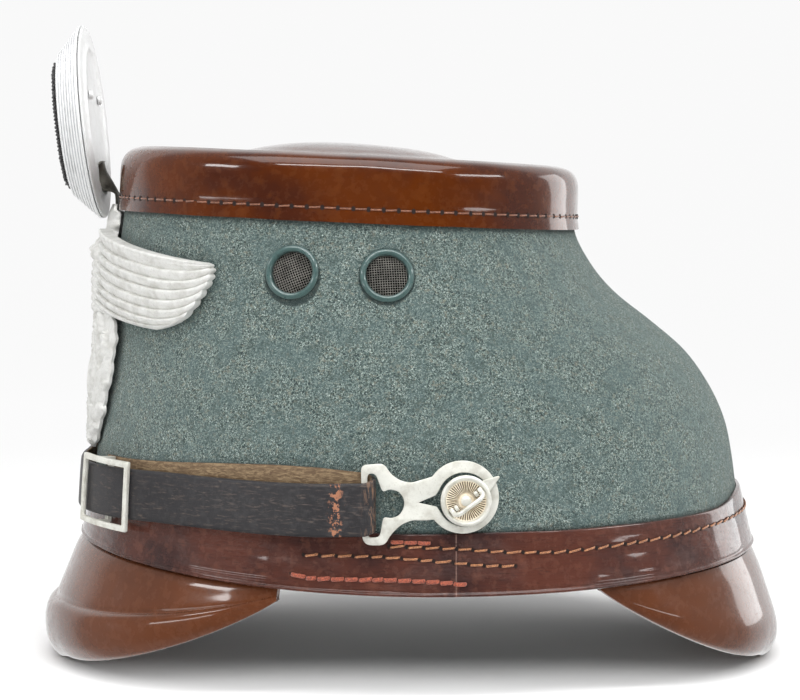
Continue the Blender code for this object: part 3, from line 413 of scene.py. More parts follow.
# %% Felt crown
FELT_THICK = 2.6
FELT_LOW = 44.4
FELT_TOP = 153.0
CROWN_SIDES = 192
FELT_ROWS = 64
# each vent's x and z on the near side
VENTS = ((-35.1, 125.8), (-7.5, 124.9))
VENT_HOLE_RADIUS = 7.25
VENT_DRILL_LENGTH = 16.0


def felt_crown():
    points = []
    for depth in (0.0, -FELT_THICK):
        for level in range(FELT_ROWS):
            height = FELT_LOW + (FELT_TOP - FELT_LOW) * level / (FELT_ROWS - 1)
            for column in range(CROWN_SIDES):
                angle = 360.0 * column / CROWN_SIDES
                point = on_wall(angle, height, depth)
                if depth == 0.0:
                    outside = point - on_wall(angle, height, -1.0)
                    point += outside * lumps(point, 0.06, 0.22)
                points.append(point)
    half = FELT_ROWS * CROWN_SIDES
    faces = grid_faces(FELT_ROWS, CROWN_SIDES, closed=True)
    faces += grid_faces(FELT_ROWS, CROWN_SIDES, closed=True, start=half)
    for row in (0, FELT_ROWS - 1):
        for column in range(CROWN_SIDES):
            a = row * CROWN_SIDES + column
            b = row * CROWN_SIDES + (column + 1) % CROWN_SIDES
            faces.append((a, b, b + half, a + half))
    crown = piece_of("felt_crown", mesh_of("felt_crown", points, faces, 60.0), slot="felt",
                     stands_for=["felt_body"])
    drills = []
    for side in (1, -1):
        for x, z in VENTS:
            drill = cylinder(VENT_HOLE_RADIUS, VENT_DRILL_LENGTH, 48,
                             wall_frame(*wall_place(x, z)))
            drill.data.transform(Matrix.Diagonal((1.0, side, 1.0, 1.0)))
            if side < 0:
                drill.data.flip_normals()
            drills.append(drill)
    return combine(crown, drills, "DIFFERENCE")


crown = felt_crown()
print("felt crown:", len(crown.data.polygons), "faces")

# %% [markdown]
# ## Lacquered top
#
# The top is one piece of leather, pulled wet over the crown and turned down at its side. Its
# profile runs from the turned-down edge, over the rounded shoulder and the flat, to a low dome
# in the middle. The profile is offset square to itself for the inner face, and the row of
# stitches pulls a shallow groove into the side.

# %% Profiles
def smooth_line(knots, steps):
    """A smooth line through knots, as (x, y) pairs, by Catmull-Rom pieces."""
    line = []
    for index in range(len(knots) - 1):
        before = knots[max(index - 1, 0)]
        start = knots[index]
        end = knots[index + 1]
        after = knots[min(index + 2, len(knots) - 1)]
        for step in range(steps):
            t = step / steps
            line.append(tuple(
                0.5 * (2.0 * b + (c - a) * t + (2.0 * a - 5.0 * b + 4.0 * c - d) * t * t
                       + (3.0 * b - a - 3.0 * c + d) * t ** 3)
                for a, b, c, d in zip(before, start, end, after)))
    line.append(tuple(knots[-1]))
    return line


def offset_line(line, amount):
    """The same line moved square to itself, to its left where it runs."""
    moved = []
    for index, (x, y) in enumerate(line):
        ahead = line[min(index + 1, len(line) - 1)]
        behind = line[max(index - 1, 0)]
        run = ahead[0] - behind[0]
        rise = ahead[1] - behind[1]
        length = math.hypot(run, rise) or 1.0
        moved.append((x - rise / length * amount, y + run / length * amount))
    return moved


# %% Lacquered top
CAP_THICK = 1.35
CAP_LOW = 139.4
CAP_SHOULDER = 153.0
CAP_TOP = 159.4
CAP_SIDE = ((1.7, CAP_LOW), (1.8, 146.0), (1.8, 152.0), (1.1, 155.8), (-1.0, 158.3),
            (-4.2, CAP_TOP))
CAP_DOME = ((1.0, 0.0), (0.75, 0.0), (0.58, 0.1), (0.5, 0.8), (0.42, 2.1), (0.3, 3.5),
            (0.15, 4.35), (0.0, 4.6))
CAP_SIDES = 192
CAP_STITCH = 143.5
CAP_GROOVE = 0.22


def cap_rows(side, dome, inward):
    top = crown_row(CAP_TOP)
    middle = (top["front"] + top["rear"]) / 2.0
    rows = []
    for out, height in side:
        row = []
        for column in range(CAP_SIDES):
            angle = 360.0 * column / CAP_SIDES
            groove = CAP_GROOVE * math.exp(-((height - CAP_STITCH) / 0.9) ** 2)
            point = on_wall(angle, height, out - groove)
            sway = lumps(point, 0.07, 0.18) + lumps(point, 0.25, 0.05)
            row.append(on_wall(angle, height + lumps(point, 0.05, 0.15), out - groove + sway))
        rows.append(row)
    for share, rise in dome:
        row = []
        for column in range(CAP_SIDES):
            angle = 360.0 * column / CAP_SIDES
            edge = on_wall(angle, CAP_TOP, side[-1][0])
            x = middle + (edge.x - middle) * share
            y = edge.y * share
            z = CAP_TOP - top["slope"] * x + rise - inward
            row.append(Vector((x, y, z + lumps((x, y, 0.0), 0.05, 0.25) * (1.0 - share ** 8))))
        rows.append(row)
    return rows


def lacquered_top():
    side = smooth_line(CAP_SIDE, 7)
    dome = smooth_line(CAP_DOME, 4)[1:]
    face = cap_rows(side, dome, 0.0)
    # the inner side runs straight up, then follows the rounded shoulder
    inner_side = [(out - CAP_THICK, height) for out, height in side if height < CAP_SHOULDER]
    inner_side += [(out, height) for out, height in offset_line(side, CAP_THICK)
                   if height > inner_side[-1][1] + 0.3 and out < inner_side[-1][0]]
    back = cap_rows(inner_side, dome, CAP_THICK)
    mesh = shell_mesh("lacquered_top", list(reversed(face)) + back, 50.0)
    return piece_of("lacquered_top", mesh, slot="cap", stands_for=["top_cover"])


top = lacquered_top()
print("lacquered top:", len(top.data.polygons), "faces")

# %% [markdown]
# ## Leather band
#
# The band is a strip of thin leather round the foot of the crown. It stands further out
# towards its lower edge, where it covers the roots of the visors, and it ends in a low ridge.
# Its height is not the same all round: it dips at the sides. Old leather is never smooth, so
# shallow creases run along it.

# %% Leather band
BAND_THICK = 1.15
BAND_TOP = 52.5
BAND_LOW_FRONT = 40.5
BAND_LOW_SIDE = 34.6
BAND_LOW_REAR = 37.0
BAND_REAR_FLARE = 1.6
BAND_REAR_RISE = 3.0
BAND_RISE_ANGLES = (148.0, 172.0)
# share of the way down the band, and distance of its face from the felt
BAND_PROFILE = ((0.0, 1.15), (0.03, 1.5), (0.25, 1.95), (0.5, 2.5), (0.75, 3.05), (0.87, 3.35),
                (0.92, 3.4), (0.955, 3.95), (0.985, 3.7), (1.0, 3.1))
BAND_SIDES = 256
BAND_SEAM = 93.5


def band_low(angle):
    """Height of the band's lower edge at an angle round from the front."""
    ahead = math.cos(math.radians(angle))
    end = BAND_LOW_FRONT if ahead > 0.0 else BAND_LOW_REAR
    return BAND_LOW_SIDE + (end - BAND_LOW_SIDE) * ahead * ahead


def band_top(angle):
    """Height of the band's upper edge, which rises at the back."""
    turn = 180.0 - abs(angle % 360.0 - 180.0)
    return BAND_TOP + BAND_REAR_RISE * soft_step(*BAND_RISE_ANGLES, turn)


def band_out(angle, share, out):
    """A distance from the felt, with what the band flares at the back added."""
    rear = max(0.0, -math.cos(math.radians(angle))) ** 2
    return out + BAND_REAR_FLARE * rear * share


def band_plain(angle, share):
    """Distance of the band's face from the felt, without its edges and creases."""
    return band_out(angle, share, 1.5 + 2.0 * share)


def band_face(angle, z):
    """The same for a height instead of a share of the way down."""
    share = (band_top(angle) - z) / (band_top(angle) - band_low(angle))
    return band_plain(angle, share)


def leather_band():
    def pair_at(row, column):
        share, out = row
        angle = 360.0 * column / BAND_SIDES
        high = band_top(angle)
        height = high + (band_low(angle) - high) * share
        point = on_wall(angle, height, out)
        crease = noise.noise(Vector((angle * 0.045, height * 0.42, 3.0)))
        crease = -0.16 * max(0.0, 1.0 - abs(crease) * 9.0) * min(1.0, 4.0 * share)
        sway = lumps(point, 0.09, 0.20) * min(1.0, 3.0 * share)
        face = band_out(angle, share, out) + crease + sway
        lift = lumps(point, 0.04, 0.35) if share < 0.02 else 0.0
        inner = band_plain(angle, share) - BAND_THICK
        return (on_wall(angle, height + lift, face),
                on_wall(angle, height + lift, min(inner, face - 0.3)))

    face, back = face_and_back(smooth_line(BAND_PROFILE, 4), range(BAND_SIDES), pair_at)
    mesh = ring_mesh("leather_band", face + list(reversed(back)), 60.0)
    return piece_of("leather_band", mesh, slot="band", stands_for=["base_band"])


band = leather_band()
print("leather band:", len(band.data.polygons), "faces")

# %% [markdown]
# ## Visors
#
# Each visor is a stiff moulded leather shade. It hangs from a collar behind the band, and its
# depth falls away to nothing at its ends. The front one has a raised rim with a groove above
# it, pressed in with the rest. The rear one, the neck guard, is plain with a thin turned edge.

# %% Visors
VISOR_THICK = 2.0
VISOR_COLLAR = 1.0
VISOR_COLLAR_TOP = 44.0
VISOR_GAP = 0.35
VISOR_FLAT = 6.0
VISOR_LIFT = 0.06
VISOR_LIFT_ANGLE = 18.0
VISOR_COLLAR_DROP = 0.2
VISOR_SIDES = 132
# how far each stands out from the felt, and the height there, at its middle
FRONT_VISOR = ((3.3, 39.4), (5.4, 36.0), (8.1, 29.6), (10.4, 24.2), (11.3, 21.8), (11.5, 20.5),
               (11.9, 19.6), (13.1, 19.0), (14.4, 17.9), (15.3, 15.8), (15.7, 12.6),
               (15.6, 9.0), (14.9, 5.6), (13.6, 3.0), (12.2, 1.1), (10.9, 0.1))
REAR_VISOR = ((4.6, 36.0), (7.4, 29.8), (9.7, 23.2), (11.9, 16.8), (13.1, 12.6), (13.5, 9.6),
              (13.3, 6.2), (12.2, 3.2), (10.9, 1.3), (9.2, 0.1))
FRONT_VISOR_END = 68.0
FRONT_VISOR_POWER = 0.8
FRONT_VISOR_TRIM = 2.0
REAR_VISOR_END = 61.5
REAR_VISOR_POWER = 0.86
REAR_VISOR_TRIM = 0.3


def visor_depth(turn, end, power):
    """Share of the visor's full depth at an angle from its middle."""
    away = max(0.0, abs(turn) - VISOR_FLAT) * end / (end - VISOR_FLAT)
    depth = max(0.01, math.cos(math.radians(90.0 * min(away / end, 1.0)))) ** power
    return depth * (1.0 - VISOR_LIFT * soft_step(VISOR_FLAT, VISOR_LIFT_ANGLE, abs(turn)))


def visor(name, node, knots, middle_angle, end, power, trim):
    low = band_low(middle_angle)
    columns = []
    for column in range(VISOR_SIDES + 1):
        turn = (2.0 * column / VISOR_SIDES - 1.0) * (end - trim)
        columns.append((middle_angle + turn, visor_depth(turn, end, power)))
    # the collar behind the band, then what hangs below it, as (out, height, whether it hangs)
    outline = [(VISOR_COLLAR, VISOR_COLLAR_TOP, False), (VISOR_COLLAR, None, False)]
    outline += [(out, height, True) for out, height in smooth_line(knots, 4)]
    last = len(outline) - 1

    def place_of(row, edge, depth):
        """Where a row lies, as (out, z), at a column with this lower edge of the band."""
        out, height, hangs = outline[min(max(row, 0), last)]
        if hangs:
            return (VISOR_COLLAR + (out - VISOR_COLLAR) * depth,
                    edge - VISOR_GAP - (low - VISOR_GAP - height) * depth)
        return out, edge - VISOR_COLLAR_DROP if height is None else height

    def pair_at(row, column):
        angle, depth = column
        edge = band_low(angle)
        here, ahead, behind = (place_of(row + step, edge, depth) for step in (0, 1, -1))
        run = ahead[0] - behind[0]
        fall = ahead[1] - behind[1]
        length = math.hypot(run, fall) or 1.0
        inner = (here[0] + fall / length * VISOR_THICK, here[1] - run / length * VISOR_THICK)
        if row in (0, last):
            inner = (here[0] - VISOR_THICK, here[1])
        pair = []
        for out, z in (here, inner):
            point = on_wall(angle, VISOR_COLLAR_TOP, out)
            point.z = max(z, 0.0)
            pair.append(point)
        return pair

    mesh = slab_mesh(name, *face_and_back(range(last + 1), columns, pair_at), 50.0)
    return piece_of(name, mesh, slot="visor", stands_for=[node])


front_visor = visor("front_shade", "front_visor", FRONT_VISOR, 0.0, FRONT_VISOR_END,
                    FRONT_VISOR_POWER, FRONT_VISOR_TRIM)
rear_visor = visor("neck_shade", "rear_visor", REAR_VISOR, 180.0, REAR_VISOR_END,
                   REAR_VISOR_POWER, REAR_VISOR_TRIM)
print("visors:", len(front_visor.data.polygons) + len(rear_visor.data.polygons), "faces")

# %% [markdown]
# ## Chin strap
#
# The chin strap is a single ribbon of leather. It starts behind a slide buckle, runs back
# against the felt, turns round the bar of the side fitting and comes forward on the outside,
# through the buckle, over the front and round the other side in the same way. It is made as
# one rod through strap sections. Its edges are rounded, and it bellies a little.

# %% Chin strap
STRAP_WIDTH = 15.0
STRAP_THICK = 1.7
LOOP_RADIUS = 2.4
LEG_STEP = 1.5
LEG_SMOOTHINGS = 6
LOOP_STEPS = 12
# the middle of the ribbon, as (angle, z, distance out of the felt)
INNER_LEG = ((24.5, 60.8, 1.35), (32.0, 60.9, 1.35), (44.0, 61.8, 1.35), (56.0, 63.0, 1.5),
             (66.0, 63.6, 1.9), (73.0, 63.3, 2.4))
OUTER_LEG = ((73.0, 59.3, 6.9), (66.0, 59.0, 5.2), (56.0, 59.1, 4.2), (46.0, 59.3, 4.4),
             (38.0, 58.9, 5.2), (32.0, 58.5, 5.3), (26.6, 58.2, 5.35), (20.0, 58.0, 5.3),
             (15.0, 58.0, 5.1), (8.0, 58.1, 3.9))
STRAP_FRONT = (0.0, 58.2, 3.1)
POST_X = 14.8
POST_Z = 61.8
POST_TURN_X = 8.0
FITTING_IN = 2.75
FITTING_THICK = 1.5
RING_SHIFT = (-0.9, 1.0)
BAR_U = -27.75


def post_frame():
    """The near post's frame: X to the back, Y up, Z out, with its origin on the felt."""
    axes = wall_frame(*wall_place(POST_TURN_X, POST_Z))
    axes.translation = on_wall(*wall_place(POST_X, POST_Z)) * MM
    return axes


# across the ribbon's face: share of its half width, share of its thickness that is left
RIBBON = ((-1.0, 0.35), (-0.985, 0.72), (-0.94, 0.95), (-0.85, 1.0), (-0.4, 1.0), (0.0, 1.0),
          (0.4, 1.0), (0.85, 1.0), (0.94, 0.95), (0.985, 0.72), (1.0, 0.35))


def ribbon_section(place):
    """A rounded section, from a function of a share of the half width and a side, 1 or -1."""
    face = []
    back = []
    for share, fullness in RIBBON:
        upper = place(share, 1.0)
        under = place(share, -1.0)
        middle = (upper + under) / 2.0
        half = (upper - under) / 2.0
        face.append(middle + half * fullness)
        back.append(middle - half * fullness)
    return face + list(reversed(back))


def leg_section(row, facing):
    """The section at a row of a leg; its grain side faces the felt where facing is -1."""
    angle, z, out = row

    def place(share, side):
        wave = lumps((angle * 0.8, z + share * 5.0, out), 0.35, 0.05)
        return at_height(angle, z + STRAP_WIDTH / 2.0 * share,
                         out + side * facing * STRAP_THICK / 2.0 + wave)

    return ribbon_section(place)


def leg_rows(rows):
    """The rows of a leg, every degree or two, on a smooth line through the table."""
    line = []
    for start, end in zip(rows, rows[1:]):
        steps = max(1, math.ceil(abs(end[0] - start[0]) / LEG_STEP))
        for step in range(steps):
            line.append([a + (b - a) * step / steps for a, b in zip(start, end)])
    line.append(list(rows[-1]))
    for _ in range(LEG_SMOOTHINGS):
        line = [line[0]] + [
            [here[0]] + [(a + 2.0 * b + c) / 4.0 for a, b, c in
                         zip(behind[1:], here[1:], ahead[1:])]
            for behind, here, ahead in zip(line, line[1:], line[2:])] + [line[-1]]
    return line


def chin_strap():
    near = [leg_section(row, -1) for row in leg_rows(INNER_LEG)]
    post = post_frame()
    bar = (post @ (Vector((BAR_U + RING_SHIFT[0], 0.0, FITTING_IN + FITTING_THICK / 2.0)) * MM))
    bar /= MM
    back, up, out_of_wall = (post.to_3x3().col[axis] for axis in range(3))
    start_z = INNER_LEG[-1][1] - 1.0
    end_z = OUTER_LEG[0][1] + 0.7
    for step in range(LOOP_STEPS + 1):
        share = step / LOOP_STEPS
        turn = math.radians(-90.0 + 180.0 * share)
        normal = back * math.cos(turn) + out_of_wall * math.sin(turn)
        middle = bar + normal * LOOP_RADIUS
        middle += up * (start_z + (end_z - start_z) * share - middle.z) / up.z

        def place(width_share, side):
            return (middle + up * width_share * STRAP_WIDTH / 2.0
                    + normal * side * STRAP_THICK / 2.0)

        near.append(ribbon_section(place))
    near += [leg_section(row, 1) for row in leg_rows(OUTER_LEG + (STRAP_FRONT,))]
    over = Vector((1.0, -1.0, 1.0))
    far = [[point * over for point in section] for section in reversed(near[:-1])]
    mesh = rod_mesh("strap_ribbon", [near + far], 40.0)
    return piece_of("strap_ribbon", mesh, slot="strap", stands_for=["chin_strap"])


strap = chin_strap()
print("chin strap:", len(strap.data.polygons), "faces")

# %% [markdown]
# ## Slide buckles
#
# A cast frame, bent to the curve of the hat, with a bar behind the strap. Its edges are worn
# round, so a Bevel modifier goes over the plain shape.

# %% Slide buckles
BUCKLE_ANGLE = 28.4
BUCKLE_Z = 58.2
BUCKLE_COLUMNS = (-12.8, -10.9, -7.5, -4.5, -1.5, 1.8, 5.0, 8.2, 11.4, 14.7, 16.5)
BUCKLE_ROWS = (-10.5, -8.7, 0.0, 8.7, 10.5)
BUCKLE_IN = 6.5
BUCKLE_THICK = 1.4
BUCKLE_BAR = (2.9, 4.15)


def soften(piece, width, segments=2, angle=30.0, sharp=50.0):
    """Rounds a piece's edges."""
    bevel = piece.modifiers.new("worn_edges", "BEVEL")
    bevel.width = width * MM
    bevel.segments = segments
    bevel.limit_method = "ANGLE"
    bevel.angle_limit = math.radians(angle)
    bevel.harden_normals = False
    bevel.use_clamp_overlap = True
    settle(piece)
    smooth_shade(piece.data, sharp)
    return piece


def frame_mesh(name, face_rows, back_rows):
    """A flat ring from two grids of points: the cells on the grid's rim are filled."""
    rows = len(face_rows)
    columns = len(face_rows[0])
    points = in_line(face_rows) + in_line(back_rows)
    back = rows * columns
    filled = {(row, column) for row in range(rows - 1) for column in range(columns - 1)
              if row in (0, rows - 2) or column in (0, columns - 2)}
    faces = []
    for row, column in sorted(filled):
        a = row * columns + column
        corners = (a, a + 1, a + columns + 1, a + columns)
        faces.append(corners)
        faces.append(tuple(corner + back for corner in reversed(corners)))
        around = ((row - 1, column), (row, column + 1), (row + 1, column), (row, column - 1))
        for side, neighbour in enumerate(around):
            if neighbour not in filled:
                here = corners[side]
                after = corners[(side + 1) % 4]
                faces.append((here, here + back, after + back, after))
    return mesh_of(name, points, faces)


def slide_buckle():
    def pair_at(row, arc):
        angle = angle_of_arc(BUCKLE_ANGLE, BUCKLE_Z, BUCKLE_IN, arc)
        return (at_height(angle, BUCKLE_Z + row, BUCKLE_IN + BUCKLE_THICK),
                at_height(angle, BUCKLE_Z + row, BUCKLE_IN))

    mesh = frame_mesh("buckle_frame_near", *face_and_back(BUCKLE_ROWS, BUCKLE_COLUMNS, pair_at))
    buckle = piece_of("buckle_frame_near", mesh, slot="aluminium",
                      stands_for=["slide_buckle_near"])
    soften(buckle, 0.4, 3)
    high = at_height(BUCKLE_ANGLE, BUCKLE_Z + BUCKLE_ROWS[-1], BUCKLE_IN)
    foot = at_height(BUCKLE_ANGLE, BUCKLE_Z + BUCKLE_ROWS[0], BUCKLE_IN)
    up = (high - foot).normalized()
    along = up.cross(outward(BUCKLE_ANGLE, BUCKLE_Z)).normalized()
    normal = along.cross(up)
    inner, outer = BUCKLE_BAR
    rail = (BUCKLE_ROWS[-1] + BUCKLE_ROWS[-2]) / 2.0
    # two lugs behind the rails and the bar between them, as (z, inner side, outer side, half
    # height, length)
    blocks = ((rail, inner - 0.1, BUCKLE_IN + 0.8, 0.8, 2.4),
              (-rail, inner + 0.7, BUCKLE_IN + 0.8, 0.8, 2.4), (0.0, inner, outer, rail, 2.0))
    bars = []
    for z, near_wall, off_wall, half, length in blocks:
        middle = at_height(BUCKLE_ANGLE, BUCKLE_Z + z, (near_wall + off_wall) / 2.0)
        bpy.ops.mesh.primitive_cube_add(size=1.0)
        block = bpy.context.object
        size = Matrix.Diagonal((length * MM, (off_wall - near_wall) * MM, 2.0 * half * MM, 1.0))
        turn = Matrix((along, normal, up)).transposed().to_4x4()
        block.data.transform(Matrix.Translation(middle * MM) @ turn @ size)
        bars.append(block)
    return combine(buckle, bars)


near_buckle = slide_buckle()
far_buckle = far_copy(near_buckle)
print("slide buckle:", len(near_buckle.data.polygons), "faces")

# %% [markdown]
# ## Side fittings
#
# The fitting is cut from sheet: a ring that drops over the button, a waist with a window, and
# a fork that holds the strap. A flat curve with holes, extruded a little, gives exactly that,
# and its bevel rounds the edges.

# %% Side fittings
FITTING_RING = 10.3
FITTING_HOLE = 7.6
FITTING_HOLE_SHIFT = (0.5, -0.7)
FITTING_TOP = ((-11.6, 4.9), (-14.6, 4.0), (-17.6, 4.7), (-20.2, 6.5), (-22.2, 9.6),
               (-28.7, 9.1))
FITTING_FOOT = ((-28.4, -11.8), (-27.0, -13.5), (-22.0, -13.5), (-20.4, -10.6), (-17.6, -7.8),
                (-14.2, -6.4), (-11.2, -6.6))
FITTING_WINDOW = ((-26.9, 6.7), (-24.6, 6.7), (-22.6, 1.4), (-20.8, 2.3), (-18.2, 1.8),
                  (-16.6, -0.2), (-16.4, -2.6), (-17.8, -5.1), (-20.2, -6.0), (-22.4, -5.4),
                  (-23.5, -11.3), (-26.9, -11.3))
FITTING_NOTCH = ((-7.3, -2.7), (-12.5, -1.5), (-7.6, 0.5))
FITTING_ROUND = 1.6


def circle_points(radius, start, end, count):
    """Points on a circle round (0, 0) from a start angle to an end angle, in degrees."""
    angles = [math.radians(start + (end - start) * index / count) for index in range(count + 1)]
    return [(radius * math.cos(angle), radius * math.sin(angle)) for angle in angles]


def rounded(corners, amount, steps=3):
    """An outline with each corner cut by a small curve of about this size."""
    line = []
    count = len(corners)
    for index in range(count):
        corner = Vector(corners[index])
        before = Vector(corners[index - 1]) - corner
        after = Vector(corners[(index + 1) % count]) - corner
        start = corner + before.normalized() * min(amount, before.length * 0.45)
        end = corner + after.normalized() * min(amount, after.length * 0.45)
        for step in range(steps + 1):
            t = step / steps
            line.append(start * (1.0 - t) ** 2 + corner * 2.0 * t * (1.0 - t) + end * t * t)
    return [tuple(point) for point in line]


def flat_plate(name, outlines, thick, edge, place):
    """A plate from flat outlines, its edge and its holes, with rounded edges."""
    curve = bpy.data.curves.new(name, "CURVE")
    curve.dimensions = "2D"
    curve.fill_mode = "BOTH"
    curve.extrude = (thick / 2.0 - edge) * MM
    curve.bevel_depth = edge * MM
    curve.bevel_resolution = 2
    curve.offset = -edge * MM
    for outline in outlines:
        spline = curve.splines.new("POLY")
        spline.points.add(len(outline) - 1)
        for point, (x, y) in zip(spline.points, outline):
            point.co = (x * MM, y * MM, 0.0, 1.0)
        spline.use_cyclic_u = True
    drawing = helper(name, curve)
    graph = bpy.context.evaluated_depsgraph_get()
    mesh = bpy.data.meshes.new_from_object(drawing.evaluated_get(graph))
    move_off(drawing)
    clean(mesh, 2.0 * MERGE_DISTANCE)
    mesh.transform(place)
    smooth_shade(mesh, 40.0)
    return mesh


def strap_fitting():
    ring = circle_points(FITTING_RING, 146.0, -142.0, 64)
    # the ring's two ends are neighbours of the side's first and last corners
    ends = [ring[0]] + list(FITTING_TOP) + list(FITTING_FOOT) + [ring[-1]]
    side = rounded(ends, FITTING_ROUND, 4)[5:-5]
    hole = [(x + FITTING_HOLE_SHIFT[0], y + FITTING_HOLE_SHIFT[1])
            for x, y in circle_points(FITTING_HOLE, 160.0, -152.0, 64)] + list(FITTING_NOTCH)
    outlines = (side + list(reversed(ring)), hole, rounded(FITTING_WINDOW, 1.2, 3))
    middle = FITTING_IN + FITTING_THICK / 2.0
    place = post_frame() @ Matrix.Translation(Vector((*RING_SHIFT, middle)) * MM)
    mesh = flat_plate("fitting_plate_near", outlines, FITTING_THICK, 0.22, place)
    return piece_of("fitting_plate_near", mesh, slot="aluminium",
                    stands_for=["strap_fitting_near"])


near_fitting = strap_fitting()
far_fitting = far_copy(near_fitting)
print("fitting:", len(near_fitting.data.polygons), "faces")

# %% [markdown]
# ## Vents
#
# Each vent is an enamelled eyelet round a disc of woven wire. The eyelet is a profile turned
# round the vent's own axis. The weave is made wire by wire: each goes over one and under the
# next, and the disc is a little domed. A texture would do from afar, but the wires catch light.

# %% Vents
VENT_RING = ((6.1, -0.7), (6.15, 0.45), (6.3, 0.95), (6.7, 1.3), (7.15, 1.38), (7.6, 1.12),
             (7.9, 0.75), (8.0, 0.5), (7.85, 0.38), (6.9, 0.35), (6.85, -3.4), (6.2, -3.4))
VENT_SIDES = 72
MESH_RADIUS = 6.12
MESH_PITCH = 0.72
WIRE_RADIUS = 0.115
WIRE_STEP = 0.24
MESH_TURNS = (24.0, 5.0)
# a black disc behind the wires, painted shade for the dark inside of the hat: its radius, the
# heights of its two faces and its sides
BACKING_SHADE_RADIUS = 6.1
BACKING_SHADE_LEVELS = (-1.4, -1.15)
BACKING_SHADE_SIDES = 40


def turned_points(profile, sides, ripple=None):
    """Sections of a turned piece: the profile, as (radius, height), round the Z axis."""
    return [[Vector((radius * math.cos(turn), radius * math.sin(turn),
                     height + (ripple(radius, turn) if ripple else 0.0)))
             for radius, height in profile] for turn in turns(sides)]


def turned_disc(name, profile, sides, ripple=None, sharp=35.0):
    """A turned piece whose profile starts and ends on its axis."""
    return shell_mesh(name, list(zip(*turned_points(profile, sides, ripple))), sharp)


def wire_sections(path, radius, sides):
    """Sections of a tube along a path that lies nearly flat."""
    sections = []
    for index, point in enumerate(path):
        along = path[min(index + 1, len(path) - 1)] - path[max(index - 1, 0)]
        across = along.cross(Vector((0.0, 0.0, 1.0))).normalized()
        up = across.cross(along).normalized()
        section = []
        for corner in range(sides):
            turn = 2.0 * math.pi * (corner + 0.5) / sides
            section.append(point + across * radius * math.cos(turn)
                           + up * radius * math.sin(turn))
        sections.append(section)
    return sections


def woven_disc(name, turn, place):
    """Woven wire inside a circle, its wires turned by an angle."""
    rods = []
    count = int(MESH_RADIUS / MESH_PITCH)
    for direction in (0, 1):
        for number in range(-count, count + 1):
            offset = number * MESH_PITCH
            reach = math.sqrt(max(MESH_RADIUS ** 2 - offset ** 2, 0.0))
            steps = max(3, int(2.0 * reach / WIRE_STEP))
            path = []
            for step in range(steps + 1):
                along = -reach + 2.0 * reach * step / steps
                bend = WIRE_RADIUS * math.cos(math.pi * (along / MESH_PITCH + number + direction))
                flat = (along, offset) if direction == 0 else (offset, along)
                dome = 0.25 - 0.8 * (flat[0] ** 2 + flat[1] ** 2) / MESH_RADIUS ** 2
                path.append(Vector((*flat, dome + bend)))
            rods.append(wire_sections(path, WIRE_RADIUS, 4))
    # a black disc closes the vent behind the wires, a painted shade for the dark inside of the
    # hat; its faces come last
    rods.append([[Vector((BACKING_SHADE_RADIUS * math.cos(spot), BACKING_SHADE_RADIUS * math.sin(spot), level))
                  for spot in turns(BACKING_SHADE_SIDES)] for level in BACKING_SHADE_LEVELS])
    points, faces = rod_parts(rods)
    mesh = bpy.data.meshes.new(name)
    mesh.from_pydata([point * MM for point in points], [], faces)
    mesh.transform(place @ turn_matrix(turn, "Z"))
    mesh.shade_smooth()
    return mesh


def vents():
    """The enamelled rings and the woven discs of all four vents."""
    rings = []
    weaves = []
    for number, (x, z) in enumerate(VENTS, start=1):
        place = wall_frame(*wall_place(x, z))
        ring = ring_mesh(f"eyelet_near_{number}",
                         turned_points(smooth_line(VENT_RING, 2), VENT_SIDES))
        rings.append(piece_of(f"eyelet_near_{number}", ring, slot="enamel", place=place,
                              stands_for=[f"vent_ring_near_{number}"]))
        rings.append(far_copy(rings[-1]))
        weave = woven_disc(f"weave_near_{number}", MESH_TURNS[number - 1], place)
        weaves.append(piece_of(f"weave_near_{number}", weave, slot="wire",
                               stands_for=[f"vent_mesh_near_{number}"]))
        weaves.append(far_copy(weaves[-1]))
    return rings, weaves


vent_rings, vent_weaves = vents()
print("woven disc:", len(vent_weaves[0].data.polygons), "faces")

# %% [markdown]
# ## Turn buttons
#
# The button is a shallow dish with a raised rim, a small boss and a sunburst of fine ribs. It
# carries a pointed lug, which locks the strap's ring, and two ears for the folding bail. Dish
# and ribs are one turned mesh whose height ripples with the angle.

# %% Turn buttons
BUTTON_PROFILE = ((0.0, 7.55), (0.7, 7.5), (1.3, 7.2), (1.65, 6.75), (1.8, 6.42), (2.2, 6.4),
                  (3.2, 6.42), (4.4, 6.48), (5.3, 6.55), (5.65, 6.65), (5.85, 7.0), (6.05, 7.45),
                  (6.4, 7.68), (6.75, 7.66), (7.05, 7.45), (7.2, 7.1), (7.22, 6.0),
                  (7.15, 4.85), (3.0, 4.75), (0.0, 4.75))
BUTTON_RIBS = 48
RIBS_START = (1.9, 2.4)
RIBS_END = (5.1, 5.6)
RIB_HEIGHT = 0.17
BUTTON_SIDES = 480
LUG_ANGLE = 36.0
LUG_ROOT = 5.6
LUG_HALF_WIDTH = 2.3
LUG_HALF_TIP = 0.28
LUG_REACH = 11.6
LUG_LOW = 4.75
LUG_HIGH = 6.0
BAIL_AXIS = 7.75
BAIL_ARM = 4.9
BAIL_LENGTH = 3.2
BAIL_CORNER = 1.9
BAIL_WIRE = 0.66
BAIL_REST = 58.0
KNUCKLE_IN = 2.9
KNUCKLE_OUT = 3.95
KNUCKLE_RADIUS = 0.85
EYE_RADIUS = 1.05
EYE_LENGTH = 1.2
BARREL_SIDES = 20
WORN_EDGE = 0.18


def sunburst(radius, turn):
    """Height of the ribs at a radius and angle of the button's dish."""
    if not RIBS_START[0] < radius < RIBS_END[1]:
        return 0.0
    inner = soft_step(*RIBS_START, radius)
    outer = 1.0 - soft_step(*RIBS_END, radius)
    return RIB_HEIGHT * math.cos(BUTTON_RIBS * turn) * inner * outer


